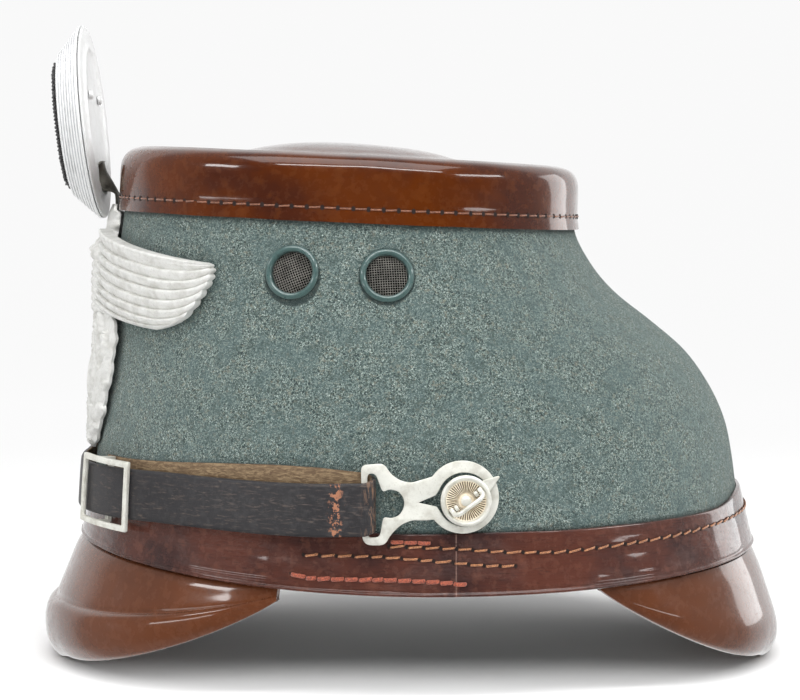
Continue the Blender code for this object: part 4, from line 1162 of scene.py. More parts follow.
def barrel(radius, length, place):
    """A short round bar along the frame's X with softened ends."""
    half = length / 2.0
    ends = ((-half, radius - WORN_EDGE), (-half + WORN_EDGE, radius),
            (half - WORN_EDGE, radius), (half, radius - WORN_EDGE))
    sections = [[Vector((x, size * math.cos(turn), size * math.sin(turn)))
                 for turn in turns(BARREL_SIDES)] for x, size in ends]
    return helper("barrel", rod_mesh("barrel", [sections]), place)


def turn_button():
    post = post_frame()
    turn = turn_matrix(LUG_ANGLE, "Z")
    # the profile is smoothed down to its flat foot
    profile = smooth_line(BUTTON_PROFILE[:-2], 2) + list(BUTTON_PROFILE[-2:])
    mesh = turned_disc("button_near", profile, BUTTON_SIDES, sunburst)
    button = piece_of("button_near", mesh, "near_button", "aluminium",
                      ["lock_button_near"], post)
    outline = rounded(((LUG_ROOT, -LUG_HALF_WIDTH), (LUG_REACH, -LUG_HALF_TIP),
                       (LUG_REACH, LUG_HALF_TIP), (LUG_ROOT, LUG_HALF_WIDTH)), 0.25, 2)
    sections = [[Vector((x, y, level)) for x, y in outline] for level in (LUG_LOW, LUG_HIGH)]
    lug = helper("lug", rod_mesh("lug", [sections]), post @ turn)
    soften(lug, WORN_EDGE, 2)
    ears = []
    for side in (-1.0, 1.0):
        middle = side * (KNUCKLE_IN + KNUCKLE_OUT) / 2.0
        place = Matrix.Translation(Vector((middle, 0.0, BAIL_AXIS - 0.75)) * MM)
        ears.append(barrel(KNUCKLE_RADIUS, KNUCKLE_OUT - KNUCKLE_IN, post @ turn @ place))
    combine(button, [lug] + ears)
    smooth_shade(button.data, 38.0)
    return button


def bail():
    """The folding handle: two eyes on the hinge line, two arms and a bar."""
    path = [(-BAIL_ARM, 0.0), (-BAIL_ARM, BAIL_LENGTH - BAIL_CORNER)]
    for step in range(1, 6):
        turn = math.pi / 2.0 * step / 6.0
        path.append((-BAIL_ARM + BAIL_CORNER * (1.0 - math.cos(turn)),
                     BAIL_LENGTH - BAIL_CORNER * (1.0 - math.sin(turn))))
    path.append((-BAIL_ARM + BAIL_CORNER, BAIL_LENGTH))
    path += [(-x, y) for x, y in reversed(path)]
    wire = wire_sections([Vector((x, -y, 0.0)) for x, y in path], BAIL_WIRE, 14)
    post = post_frame() @ turn_matrix(LUG_ANGLE, "Z")
    hinge = post @ Matrix.Translation(Vector((0.0, 0.0, BAIL_AXIS)) * MM)
    place = hinge @ turn_matrix(-BAIL_REST, "X")
    handle = piece_of("handle_near", rod_mesh("handle_near", [wire], 60.0), "near_bail",
                      "aluminium", ["bail_near"], place)
    eyes = []
    for side in (-1.0, 1.0):
        shift = Matrix.Translation(Vector((side * BAIL_ARM, 0.0, 0.0)) * MM)
        eyes.append(barrel(EYE_RADIUS, EYE_LENGTH, place @ shift))
    combine(handle, eyes)
    smooth_shade(handle.data, 50.0)
    return handle


near_button = turn_button()
far_button = far_copy(near_button)
near_handle = bail()
far_handle = far_copy(near_handle)
print("turn button:", len(near_button.data.polygons), "faces")

# %% [markdown]
# ## Badge plate
#
# The plate is a light casting: a plain spread-winged bird over a wreath of leaves with a round
# boss. Its middle is a grid over the front of the hat, and its height at each point is the
# highest of the shapes there: breast feathers as rows of scales, leaves with midribs, the boss
# and the head. The wings are grids of their own, a row of lapped feathers with fine barbs.

# %% The plate's middle
# (z, half width, distance of its back from the felt, distance of its face)
BADGE = (
    (145.2, 3.6, 2.5, 4.8),
    (143.2, 5.8, 2.45, 5.7),
    (142.4, 6.3, 0.9, 5.9),
    (139.0, 7.4, 0.9, 6.2),
    (136.0, 7.0, 1.0, 6.4),
    (133.6, 9.6, 1.4, 8.6),
    (130.8, 13.0, 1.8, 10.6),
    (127.4, 15.0, 2.1, 9.0),
    (121.0, 15.5, 2.4, 8.6),
    (114.0, 21.0, 2.6, 7.6),
    (109.0, 29.5, 2.6, 6.9),
    (104.0, 32.6, 2.5, 6.6),
    (98.0, 31.6, 2.4, 6.3),
    (92.0, 32.2, 2.2, 6.2),
    (86.0, 29.4, 2.0, 6.0),
    (80.5, 29.0, 1.7, 5.6),
    (75.5, 24.6, 1.3, 5.2),
    (71.0, 22.0, 0.9, 4.8),
    (67.6, 12.0, 0.6, 4.0),
)
BADGE_LEVELS = 170
BADGE_ACROSS = 72
WREATH_TOP = 111.0
BOSS_Z = 90.0
BOSS_RADIUS = 9.0
BOSS_RISE = 1.7
BADGE_STUDS = (122.0, 88.0)
STUD_RADIUS = 2.4
STUD_LENGTH = 3.0
STUD_OUT = 2.15


def badge_row(z):
    """The plate's half width, back and face at a height, straight between its rows."""
    for above, below in zip(BADGE, BADGE[1:]):
        if above[0] >= z >= below[0]:
            share = (above[0] - z) / (above[0] - below[0])
            return [a + (b - a) * share for a, b in zip(above[1:], below[1:])]
    return list(BADGE[0][1:] if z > BADGE[0][0] else BADGE[-1][1:])


def leaf_table():
    """Leaves of the wreath, as (across, z, direction in degrees, length, half width)."""
    leaves = []
    for ring, radius, tilt in ((0, 23.5, 14.0), (1, 17.5, -16.0), (2, 28.5, 34.0)):
        for number in range(9):
            turn = math.radians(-78.0 + 18.5 * number + 6.0 * ring)
            across = radius * math.cos(turn)
            z = 91.0 + radius * 0.78 * math.sin(turn)
            leaves.append((across, z, math.degrees(turn) + 90.0 - tilt, 10.5, 2.7))
    return leaves


LEAVES = leaf_table()


def leaf_height(across, z):
    """Height of the highest leaf at a place, from 0 to 1."""
    best = 0.0
    for middle, level, direction, length, width in LEAVES:
        dx = across - middle
        dz = z - level
        if abs(dx) > length or abs(dz) > length:
            continue
        turn = math.radians(direction)
        along = (dx * math.cos(turn) + dz * math.sin(turn)) / (length / 2.0)
        side = -dx * math.sin(turn) + dz * math.cos(turn)
        if abs(along) >= 1.0:
            continue
        reach = width * (1.0 - along * along) ** 0.7 + 0.15 * math.sin(along * 14.0)
        if abs(side) >= reach:
            continue
        dome = (1.0 - (side / reach) ** 2) ** 0.6
        rib = 0.28 * math.exp(-(side / 0.35) ** 2)
        veins = 0.08 * math.cos(7.0 * (along * 2.0 + abs(side) / width))
        best = max(best, dome * (0.75 + 0.2 * along) + veins * dome - rib)
    return best


def scale_height(across, z):
    """Small lapped feathers on the breast, from 0 to 1."""
    row = math.floor(z / 2.7)
    level = z / 2.7 - row
    shift = 0.5 if row % 2 else 0.0
    cell = across / 3.3 + shift
    side = 2.0 * (cell - math.floor(cell)) - 1.0
    edge = 1.0 - 0.55 * math.sqrt(max(0.0, 1.0 - side * side))
    return soft_step(edge - 0.28, edge + 0.05, level) * (1.0 - 0.5 * level) + 0.25 * (
        1.0 - abs(side)) * level


def badge_height(across, z, share, face, back):
    """Distance of the plate's face in front of its back."""
    depth = face - back
    roll = math.sqrt(max(0.0, 1.0 - abs(share) ** 4))
    if z < WREATH_TOP:
        side = abs(across)
        plate = 0.42 + 0.06 * noise.noise(Vector((across * 0.5, z * 0.5, 0.0)))
        leafy = soft_step(BOSS_RADIUS + 0.5, BOSS_RADIUS + 3.0, math.hypot(side, z - BOSS_Z))
        height = depth * (plate + 0.52 * leaf_height(side, z) * leafy)
        boss = math.hypot(across, z - BOSS_Z) / BOSS_RADIUS
        if boss < 1.0:
            height = max(height, depth * 0.62 + BOSS_RISE * math.sqrt(1.0 - boss * boss))
        rim = abs(math.hypot(across, z - BOSS_Z) - BOSS_RADIUS - 0.9)
        height = max(height, depth * 0.70 - 0.8 * rim * rim)
    else:
        body = math.sqrt(max(0.0, 1.0 - (share * 0.93) ** 2))
        feathers = 0.55 * scale_height(across, z) * soft_step(137.0, 134.0, z)
        height = depth * (0.22 + 0.78 * body) - 0.55 + feathers
        if z > 136.0:
            height += 0.4 * noise.noise(Vector((across * 0.45, z * 0.45, 5.0)))
    return max(height * (0.35 + 0.65 * roll), 0.9)


def badge_rows():
    """The rows of the plate's grid: height, half width, the angle there, back and face."""
    for level in range(BADGE_LEVELS + 1):
        z = BADGE[0][0] + (BADGE[-1][0] - BADGE[0][0]) * level / BADGE_LEVELS
        half_width, back, face = badge_row(z)
        half_width += 0.9 * abs(math.sin(math.pi * z / 4.6)) if z < 116.0 else (
            0.25 * math.sin(z * 2.1))
        yield z, half_width, angle_of_arc(0.0, z, 0.0, half_width), back, face


def badge_middle():
    def pair_at(row, share):
        z, half_width, near_angle, back, face = row
        height = badge_height(half_width * share, z, share, face, back)
        return (at_height(near_angle * share, z, back + height),
                at_height(near_angle * share, z, back))

    shares = [2.0 * step / BADGE_ACROSS - 1.0 for step in range(BADGE_ACROSS + 1)]
    return slab_mesh("badge", *face_and_back(badge_rows(), shares, pair_at), 60.0)


# %% The wings
WING_ROOT_ANGLE = 7.0
WING_FEATHERS = 8
# each line between two feathers: height at the root, then angle and height of its end, and how
# deep it sags before its tip turns up
WING_LINES = (
    (137.4, 56.6, 128.3, 0.6),
    (133.4, 57.6, 127.0, 3.8),
    (130.6, 57.4, 125.2, 5.8),
    (127.5, 56.9, 123.1, 6.6),
    (124.4, 55.2, 120.4, 7.0),
    (121.6, 53.4, 117.4, 7.0),
    (119.2, 51.2, 114.2, 6.4),
    (116.6, 48.0, 110.8, 4.4),
    (114.0, 41.6, 108.0, 0.8),
)
WING_STATIONS = 120
WING_BACK = (3.0, 1.8)
WING_FACE = (6.8, 4.4)
FEATHER_SAMPLES = 8
FEATHER_STEP = 1.25


def wing_place(line, share):
    """Angle and height at a share of the length of a line, which may lie between two rows."""
    lower = min(int(line), WING_FEATHERS - 1)
    part = line - lower
    root_z, end_angle, end_z, sag = (a + (b - a) * part
                                     for a, b in zip(WING_LINES[lower], WING_LINES[lower + 1]))
    end_angle += 0.7 * math.sin(math.pi * part)
    angle = WING_ROOT_ANGLE + (end_angle - WING_ROOT_ANGLE) * share
    z = root_z + (end_z - root_z) * share - sag * share * (1.0 - share ** 6)
    return angle, z


def feather_height(part, share, feather):
    """Rise of a feather's face from its foot, with barbs; part runs from its top to its foot."""
    round_back = 0.55 * math.sin(math.pi * min(1.0, part * 0.94 + 0.03)) ** 0.45
    lap = -FEATHER_STEP * part
    barbs = 0.05 * math.sin(150.0 * share + 9.0 * part) * math.sin(math.pi * part)
    shaft = 0.16 * math.exp(-((part - 0.3) / 0.06) ** 2)
    if feather == 0:
        # the leading edge is a double ridge
        shaft = 0.5 * math.exp(-((part - 0.18) / 0.14) ** 2)
        shaft += 0.3 * math.exp(-((part - 0.52) / 0.10) ** 2)
    return round_back + lap + barbs + shaft


def wing_mesh(side):
    def pair_at(row, station):
        feather, sample = row
        part = sample / FEATHER_SAMPLES
        drop = 0.2 if part == 0.0 and feather else 0.0
        share = station / WING_STATIONS
        angle, z = wing_place(feather + part, share)
        face = WING_FACE[0] + (WING_FACE[1] - WING_FACE[0]) * share
        face += feather_height(part, share, feather) * (1.0 - 0.35 * share ** 6)
        face += 0.12 * noise.noise(Vector((angle, z * 0.7, 7.0)))
        back = WING_BACK[0] + (WING_BACK[1] - WING_BACK[0]) * share
        return at_height(angle * side, z - drop, face), at_height(angle * side, z - drop, back)

    rows = [(feather, sample) for feather in range(WING_FEATHERS)
            for sample in range(FEATHER_SAMPLES + 1)]
    return slab_mesh("wing", *face_and_back(rows, range(WING_STATIONS + 1), pair_at), 45.0)


def badge():
    """The plate with its two wings, and two studs that seat it on the felt."""
    plate = piece_of("badge_casting", badge_middle(), slot="aluminium",
                     stands_for=["badge_plate"])
    wings = [helper("wing", wing_mesh(side)) for side in (1, -1)]
    studs = [cylinder(STUD_RADIUS, STUD_LENGTH, 24,
                      Matrix.Translation(at_height(0.0, z, STUD_OUT) * MM)
                      @ turn_matrix(90.0, "Y")) for z in BADGE_STUDS]
    combine(plate, wings + studs)
    smooth_shade(plate.data, 45.0)
    return plate


badge_casting = badge()
print("badge:", len(badge_casting.data.polygons), "faces")

# %% [markdown]
# ## Cockade
#
# The cockade is an oval metal dish with fine stepped ribs, a field of rough black cloth in its
# middle, a plain back plate with two rivets, and a dark spring tongue that pushes down behind
# the badge. Ovals are drawn as rings: a ring is a share of the outline and a distance forward.

# %% Cockade
COCKADE_X = -101.8
COCKADE_Z = 171.6
COCKADE_LEAN = 5.6
COCKADE_TURN = -1.8
COCKADE_SIDES = 160
COCKADE_HEIGHT = 31.0
COCKADE_WIDTH = 21.5
COCKADE_RIBS = 8
RIB_ROWS = 6
COCKADE_DEPTH = 9.7
COCKADE_FRONT_SHARE = 0.72
# the lip round the cloth, as (share of the outline, distance forward) beside the rim's own
DISH_LIP = ((0.004, 0.0), (-0.02, 0.25), (-0.045, 0.0), (-0.05, -1.6))
COCKADE_PAD = 2.2
COCKADE_PLATE = 1.0
PIECE_GAP = 0.06
RIVET_PLACES = ((-7.0, 7.2), (7.0, 8.4))
TONGUE_WIDTH = 7.0
TONGUE_THICK = 0.8
TONGUE_CURL_END = 0.62
# the middle of the spring from its top to its foot, as (x, z)
TONGUE = ((-99.9, 159.0), (-98.9, 155.6), (-96.9, 152.2), (-95.3, 148.9), (-95.0, 145.0),
          (-95.0, 136.4))


def cockade_frame():
    """X across the hat, Y up the cockade and Z forwards, out of its face."""
    lean = math.radians(COCKADE_LEAN)
    across = Vector((0.0, -1.0, 0.0))
    up = Vector((-math.sin(lean), 0.0, math.cos(lean)))
    axes = Matrix((across, up, across.cross(up))).transposed().to_4x4()
    return (Matrix.Translation(Vector((COCKADE_X, 0.0, COCKADE_Z)) * MM)
            @ turn_matrix(COCKADE_TURN, "Z") @ axes)


def oval_ring(share, forward):
    """An oval at a share of the cockade's outline and a distance forward."""
    width = max(COCKADE_WIDTH - (1.0 - share) * COCKADE_HEIGHT, COCKADE_WIDTH * share * 0.4)
    return [Vector((width * math.cos(turn), COCKADE_HEIGHT * share * math.sin(turn), forward))
            for turn in turns(COCKADE_SIDES)]


def oval_shell(name, rows, sharp=50.0):
    """A closed shell through ovals, with a flat face in front and behind."""
    points = in_line([oval_ring(*row) for row in rows])
    faces = grid_faces(len(rows), COCKADE_SIDES, closed=True)
    count = len(points)
    points += [Vector((0.0, 0.0, rows[0][1])), Vector((0.0, 0.0, rows[-1][1]))]
    last = count - COCKADE_SIDES
    for side in range(COCKADE_SIDES):
        right = (side + 1) % COCKADE_SIDES
        faces.append((right, side, count))
        faces.append((last + side, last + right, count + 1))
    return mesh_of(name, points, faces, sharp)


def cockade_dish():
    start = COCKADE_PLATE + PIECE_GAP
    rows = [(1.0, start + 0.15)]
    for rib in range(COCKADE_RIBS):
        for part in range(RIB_ROWS):
            t = (rib + part / RIB_ROWS) / COCKADE_RIBS
            swell = 0.62 * math.sin(math.pi * part / RIB_ROWS) ** 0.7
            share = 1.0 - (1.0 - COCKADE_FRONT_SHARE) * t + swell / COCKADE_HEIGHT * 0.8
            rows.append((min(share, 1.0), start + 0.2 + (COCKADE_DEPTH - start - 0.2) * t
                         + swell * 0.35))
    rows += [(COCKADE_FRONT_SHARE + wider, COCKADE_DEPTH + forward)
             for wider, forward in DISH_LIP]
    rows.append((0.93, start))
    # each section runs through the rows; the last row joins the first one
    rings = [oval_ring(*row) for row in rows]
    return ring_mesh("cockade_dish", list(zip(*rings)), 60.0)


def cloth_field():
    """The cloth fills the dish and swells over its rim like a small cushion of rough weave."""
    inside = COCKADE_FRONT_SHARE - 0.065
    swell = COCKADE_DEPTH + COCKADE_PAD
    seat = COCKADE_DEPTH - 0.8
    rows = [(0.12, swell + 0.1), (0.25, swell + 0.1), (0.36, swell + 0.05), (0.46, swell),
            (0.55, swell - 0.1), (inside - 0.04, swell - 0.25), (inside - 0.01, swell - 0.6),
            (inside, swell - 1.1), (inside, swell - 1.7), (inside, seat + 0.5), (inside, seat),
            (0.4, seat)]
    mesh = oval_shell("cloth_field", rows, 80.0)
    fine = helper("cloth_field", mesh)
    split = fine.modifiers.new("fine", "SUBSURF")
    split.levels = 1
    split.render_levels = 1
    settle(fine)
    mesh = fine.data
    for vertex in mesh.vertices:
        place = vertex.co / MM
        if place.z < COCKADE_DEPTH:
            continue
        rough = noise.noise(place * 1.4) * 0.26 + noise.noise(place * 3.1) * 0.30
        rough += 0.26 * math.sin(place.y * 5.2)
        vertex.co += vertex.normal * rough * MM
    move_off(fine)
    return mesh


def back_plate():
    lip = 0.78
    rows = [(0.4, 1.0), (0.7, 1.0), (0.97, 1.0), (0.99, 0.9), (1.0, 0.6), (0.992, 0.28),
            (0.975, 0.15), (0.9, 0.15), (lip + 0.035, 0.15), (lip + 0.02, -0.1),
            (lip + 0.004, -0.42), (lip - 0.012, -0.5), (lip - 0.028, -0.42), (lip - 0.045, -0.1),
            (lip - 0.06, 0.08), (0.5, 0.18), (0.3, 0.2)]
    return oval_shell("cockade_plate", rows, 60.0)


def tongue():
    """A curved spring of steel: its edges are turned forward, most in the middle."""
    line = smooth_line(TONGUE, 6)
    sections = []
    for index, (x, z) in enumerate(line):
        ahead = line[min(index + 1, len(line) - 1)]
        behind = line[max(index - 1, 0)]
        along = Vector((ahead[0] - behind[0], 0.0, ahead[1] - behind[1])).normalized()
        normal = Vector((0.0, 1.0, 0.0)).cross(along)
        if normal.x > 0.0:
            normal.negate()
        share = index / (len(line) - 1)
        swell = 0.0
        if share < TONGUE_CURL_END:
            swell = math.sin(math.pi * (share / TONGUE_CURL_END)) ** 1.3
        outer = []
        inner = []
        for step in range(9):
            side = step / 4.0 - 1.0
            width = TONGUE_WIDTH / 2.0 * side * (1.0 + 0.9 * swell)
            curl = normal * swell * 4.6 * abs(side) ** 2.0
            middle = Vector((x, width, z)) + curl
            outer.append(middle + normal * TONGUE_THICK / 2.0)
            inner.append(middle - normal * TONGUE_THICK / 2.0)
        sections.append(outer + list(reversed(inner)))
    return rod_mesh("tongue", [sections], 50.0)


def cockade():
    place = cockade_frame()
    dish = piece_of("cockade_dish", cockade_dish(), slot="aluminium", place=place,
                    stands_for=["cockade_shell"])
    cloth = piece_of("cloth_field", cloth_field(), slot="cloth", place=place,
                     stands_for=["cockade_field"])
    plate = piece_of("cockade_plate", back_plate(), slot="aluminium", place=place,
                     stands_for=["cockade_back"])
    rivets = []
    for number, (across, up) in enumerate(RIVET_PLACES, start=1):
        head = ((0.0, -1.15), (0.5, -1.1), (1.0, -0.92), (1.35, -0.6), (1.5, -0.15),
                (1.5, 0.0), (0.0, 0.0))
        seat = place @ Matrix.Translation(Vector((across, up, -0.2)) * MM)
        mesh = turned_disc(f"rivet_{number}", head, 28)
        rivets.append(piece_of(f"rivet_{number}", mesh, slot="aluminium", place=seat,
                               stands_for=[f"cockade_rivet_{number}"]))
    spring = piece_of("spring_tongue", tongue(), slot="dark_steel",
                      stands_for=["cockade_tongue"])
    return dish, cloth, plate, rivets, spring


cockade_metal, cockade_cloth, cockade_plate, cockade_rivets, spring_tongue = cockade()
print("cockade dish:", len(cockade_metal.data.polygons), "faces")

# %% [markdown]
# ## Stitches
#
# Thread is made stitch by stitch: a bent tube whose ends dive into a needle hole. The holes are
# small cups in a dark finish, a painted shade for the inside of each hole. A row of stitches
# follows a line on the hat, given by a few places, and each stitch slants a little, as a lock
# stitch does.

# %% Rows of stitches
THREAD_SIDES = 6
THREAD_STEPS = 8
HOLE_SIDES = 8
# a needle hole's rims, as (distance out of the leather, share of its size)
HOLE_RIMS = ((0.16, 1.0), (-0.25, 0.8))
CAP_SIDE_OUT = 1.78
CAP_LINE_STEPS = 180
SLANT_SPREAD = 0.035
random.seed(7)


def line_places(places, pitch, face):
    """Points one stitch apart along a line of (angle, z) places, with their outward normals."""
    fine = []
    for start, end in zip(places, places[1:]):
        steps = max(2, int(abs(end[0] - start[0]) / 0.5))
        for step in range(steps):
            share = step / steps
            angle = start[0] + (end[0] - start[0]) * share
            z = start[1] + (end[1] - start[1]) * share
            fine.append((angle, z, at_height(angle, z, face(angle, z))))
    angle, z = places[-1]
    fine.append((angle, z, at_height(angle, z, face(angle, z))))
    chosen = [fine[0]]
    run = 0.0
    for before, here in zip(fine, fine[1:]):
        run += (here[2] - before[2]).length
        if run >= pitch:
            chosen.append(here)
            run -= pitch
    return [(point, outward(angle, z)) for angle, z, point in chosen]


def thread_sections(first, last, normal, radius, height):
    """One stitch between two places: its ends dive into the leather."""
    path = []
    for step in range(THREAD_STEPS + 1):
        share = step / THREAD_STEPS
        rise = height * math.sin(math.pi * share) ** 0.45
        if step in (0, THREAD_STEPS):
            rise -= radius * 1.3
        path.append(first + (last - first) * share + normal * rise)
    sections = []
    for index, point in enumerate(path):
        way = path[min(index + 1, THREAD_STEPS)] - path[max(index - 1, 0)]
        across = way.cross(normal).normalized()
        out = across.cross(way).normalized()
        size = radius * (0.72 if index in (0, THREAD_STEPS) else 1.0)
        sections.append([point + across * size * math.cos(turn) * 1.15
                         + out * size * math.sin(turn) * 0.85 for turn in turns(THREAD_SIDES)])
    return sections


def hole_sections(spot, normal, size):
    """A needle hole: a small cup, a little higher than wide."""
    across = normal.cross(Vector((0.0, 0.0, 1.0))).normalized()
    up = across.cross(normal).normalized()
    return [[spot + normal * depth + across * size * share * math.cos(turn)
             + up * size * 1.25 * share * math.sin(turn) for turn in turns(HOLE_SIDES)]
            for depth, share in HOLE_RIMS]


def stitch_row(name, face, side, places, pitch, radius, slant, fill, height, hole):
    """Threads and needle holes along a line; fill is the share of the pitch that shows thread."""
    spots = line_places(places, pitch, face)
    threads = []
    for (start, start_normal), (end, end_normal) in zip(spots, spots[1:]):
        normal = (start_normal + end_normal).normalized()
        along = end - start
        up = normal.cross(along).normalized()
        tilt = up * along.length * (slant + random.uniform(-SLANT_SPREAD, SLANT_SPREAD))
        first = start + along * (1.0 - fill) / 2.0 - tilt / 2.0
        last = end - along * (1.0 - fill) / 2.0 + tilt / 2.0
        threads.append(thread_sections(first, last, normal, radius, height))
    holes = [hole_sections(spot, normal, hole) for spot, normal in spots]
    flip = Vector((1.0, side, 1.0))
    pieces = []
    for word, rods in ((name, threads), (name + "_holes", holes)):
        rods = [[[point * flip for point in section] for section in rod] for rod in rods]
        pieces.append(piece_of(word, rod_mesh(word, rods, 60.0), slot="band"))
    return pieces


def cap_face(_angle, _z):
    """The lacquered side where the stitches run."""
    return CAP_SIDE_OUT - CAP_GROOVE


def band_surface(angle, z):
    """Just off the band's face, so that its lumps don't swallow the holes."""
    return band_face(angle, z) + 0.05


# the top's row runs all round; its height is a little above the turned edge
cap_line = []
for step in range(CAP_LINE_STEPS + 1):
    angle = 360.0 * step / CAP_LINE_STEPS
    cap_line.append((angle, on_wall(angle, CAP_STITCH).z))
thread_rows = [stitch_row("top_thread", cap_face, 1, cap_line, 4.5, 0.22, 0.04, 0.86, 0.3, 0.66)]

# the band's rows, as (angle, z): a long one round the back, a short heavy one beside the seam,
# and two that hold the ends of the visors
REAR_ROW = ((83.3, 49.0), (94.1, 48.3), (100.9, 47.2), (110.5, 46.4), (115.4, 46.7),
            (122.8, 47.2), (135.0, 47.8), (145.6, 48.4), (160.0, 49.0), (180.0, 49.2))
OVERLAP_ROW = ((83.5, 50.2), (91.0, 49.8))
MIDDLE_ROW = ((70.4, 45.8), (82.1, 46.0), (92.5, 44.6), (97.5, 43.5), (105.2, 43.0))
LOW_ROW = ((68.5, 40.4), (70.4, 39.4), (73.2, 39.3), (83.6, 39.6), (91.9, 38.9), (96.3, 37.9))
# each row's line, pitch and thread radius, then its slant, fill, height and size of hole
BAND_THREADS = {
    "rear": (REAR_ROW, 4.7, 0.27, 0.14, 0.86, 0.3, 0.52),
    "overlap": (OVERLAP_ROW, 3.7, 0.5, 0.05, 0.98, 0.38, 0.3),
    "middle": (MIDDLE_ROW, 4.7, 0.3, 0.12, 0.86, 0.3, 0.52),
    "low": (LOW_ROW, 3.9, 0.55, 0.1, 0.97, 0.4, 0.3),
}
for side, word in ((1, "near"), (-1, "far")):
    for row, numbers in BAND_THREADS.items():
        thread_rows.append(stitch_row(f"{row}_thread_{word}", band_surface, side, *numbers))
print("rows of stitches:", len(thread_rows))

# %% [markdown]
# ## A small language for materials
#
# A material is a graph of nodes. Written as code, such graphs get long, so a small class wraps
# the output of a node. Sums on it add Math nodes, and the graph reads like the formula. A
# colour must not go through a Math node, which would turn it grey, so colours are blended by
# one method that adds Mix nodes, and places are moved by Vector Math.

# %% The material helpers
class Signal:
    """A number that a node gives out."""

    def __init__(self, finish, socket):
        self.finish = finish
        self.socket = socket

    def maths(self, operation, *values):
        sockets = dict(enumerate(values))
        return self.finish.node("ShaderNodeMath", {"operation": operation}, sockets)

    def __add__(self, other):
        return self.maths("ADD", self, other)

    def __sub__(self, other):
        return self.maths("SUBTRACT", self, other)

    def __mul__(self, other):
        return self.maths("MULTIPLY", self, other)

    def __pow__(self, other):
        return self.maths("POWER", self, other)

    def __rsub__(self, other):
        return self.maths("SUBTRACT", other, self)

    __radd__ = __add__
    __rmul__ = __mul__

    def held(self):
        """The number kept between 0 and 1."""
        return self.finish.node("ShaderNodeClamp", {}, {"Value": self})

    def between(self, low, high):
        """A soft step from 0 at low to 1 at high."""
        settings = {"interpolation_type": "SMOOTHSTEP"}
        return self.finish.node("ShaderNodeMapRange", settings,
                                {"Value": self, "From Min": low, "From Max": high})


class Finish:
    """A material that is being made, with its shader and a scale in millimetres."""

    def __init__(self, name):
        self.material = bpy.data.materials.new(name)
        self.material.use_nodes = True
        self.nodes = self.material.node_tree.nodes
        self.links = self.material.node_tree.links
        self.shader = self.nodes["Principled BSDF"]
        place = self.node("ShaderNodeTexCoord", {}, {}, "Object")
        self.place = self.node("ShaderNodeVectorMath", {"operation": "SCALE"},
                               {"Vector": place, "Scale": 1.0 / MM}, "Vector")

    def node(self, kind, settings, sockets, output=0):
        """Any node: its type, its settings, then the values or links of its sockets."""
        made = self.nodes.new(kind)
        for key, value in settings.items():
            setattr(made, key, value)
        for key, value in sockets.items():
            self.feed(made.inputs[key], value)
        return Signal(self, made.outputs[output])

    def feed(self, socket, value):
        if isinstance(value, Signal):
            self.links.new(value.socket, socket)
        else:
            socket.default_value = value

    def noise(self, scale, detail=2.0, roughness=0.55, stretch=None, distortion=0.0):
        """Noise from 0 to 1: its scale in waves for each millimetre, and its stretch by axes."""
        place = self.stretched(*stretch) if stretch else self.place
        return self.node("ShaderNodeTexNoise", {},
                         {"Vector": place, "Scale": scale, "Detail": detail,
                          "Roughness": roughness, "Distortion": distortion})

    def stretched(self, x, y, z):
        """The place stretched along the axes, for grain and scratches that run one way."""
        return self.node("ShaderNodeVectorMath", {"operation": "MULTIPLY"},
                         {0: self.place, 1: (x, y, z)}, "Vector")

    def axis(self, letter):
        """One coordinate of the place, in millimetres."""
        return self.node("ShaderNodeSeparateXYZ", {}, {"Vector": self.place}, letter)

    def blend(self, mask, below, above):
        """Two colours blended by a mask."""
        return self.node("ShaderNodeMix", {"data_type": "RGBA"},
                         {0: mask, 6: below, 7: above}, 2)

    def bump(self, height, strength, distance):
        """A Bump node for the shader's normal; its distance is in millimetres."""
        return self.node("ShaderNodeBump", {},
                         {"Height": height, "Strength": strength, "Distance": distance * MM})

    def shade(self, **values):
        """Sets the shader's sockets, named with underscores."""
        for key, value in values.items():
            self.feed(self.shader.inputs[key.replace("_", " ")], value)
        return self.material


def srgb(red, green, blue):
    """A colour as a screen shows it, from 0 to 255, turned into the shader's linear values."""
    linear = []
    for value in (red, green, blue):
        share = value / 255.0
        linear.append(share / 12.92 if share <= 0.04045 else ((share + 0.055) / 1.055) ** 2.4)
    return (*linear, 1.0)


def wear(finish, *pieces):
    """Gives pieces a material."""
    for piece in pieces:
        piece.data.materials.clear()
        piece.data.materials.append(finish)


# %% [markdown]
# ## Felt
#
# Felt of mixed wool is never one colour: fibres of blue-green, pale grey and tan lie side by
# side, a fraction of a millimetre wide, and clump into soft patches. Three noises at three
# scales choose between the fibre colours. Sheen gives the pale nap at grazing angles.

# %% Felt
# the painted shade round each vent's eyelet fades out between these distances from the vent's
# middle, in mm
VENT_RING_SHADE = (8.0, 8.6)


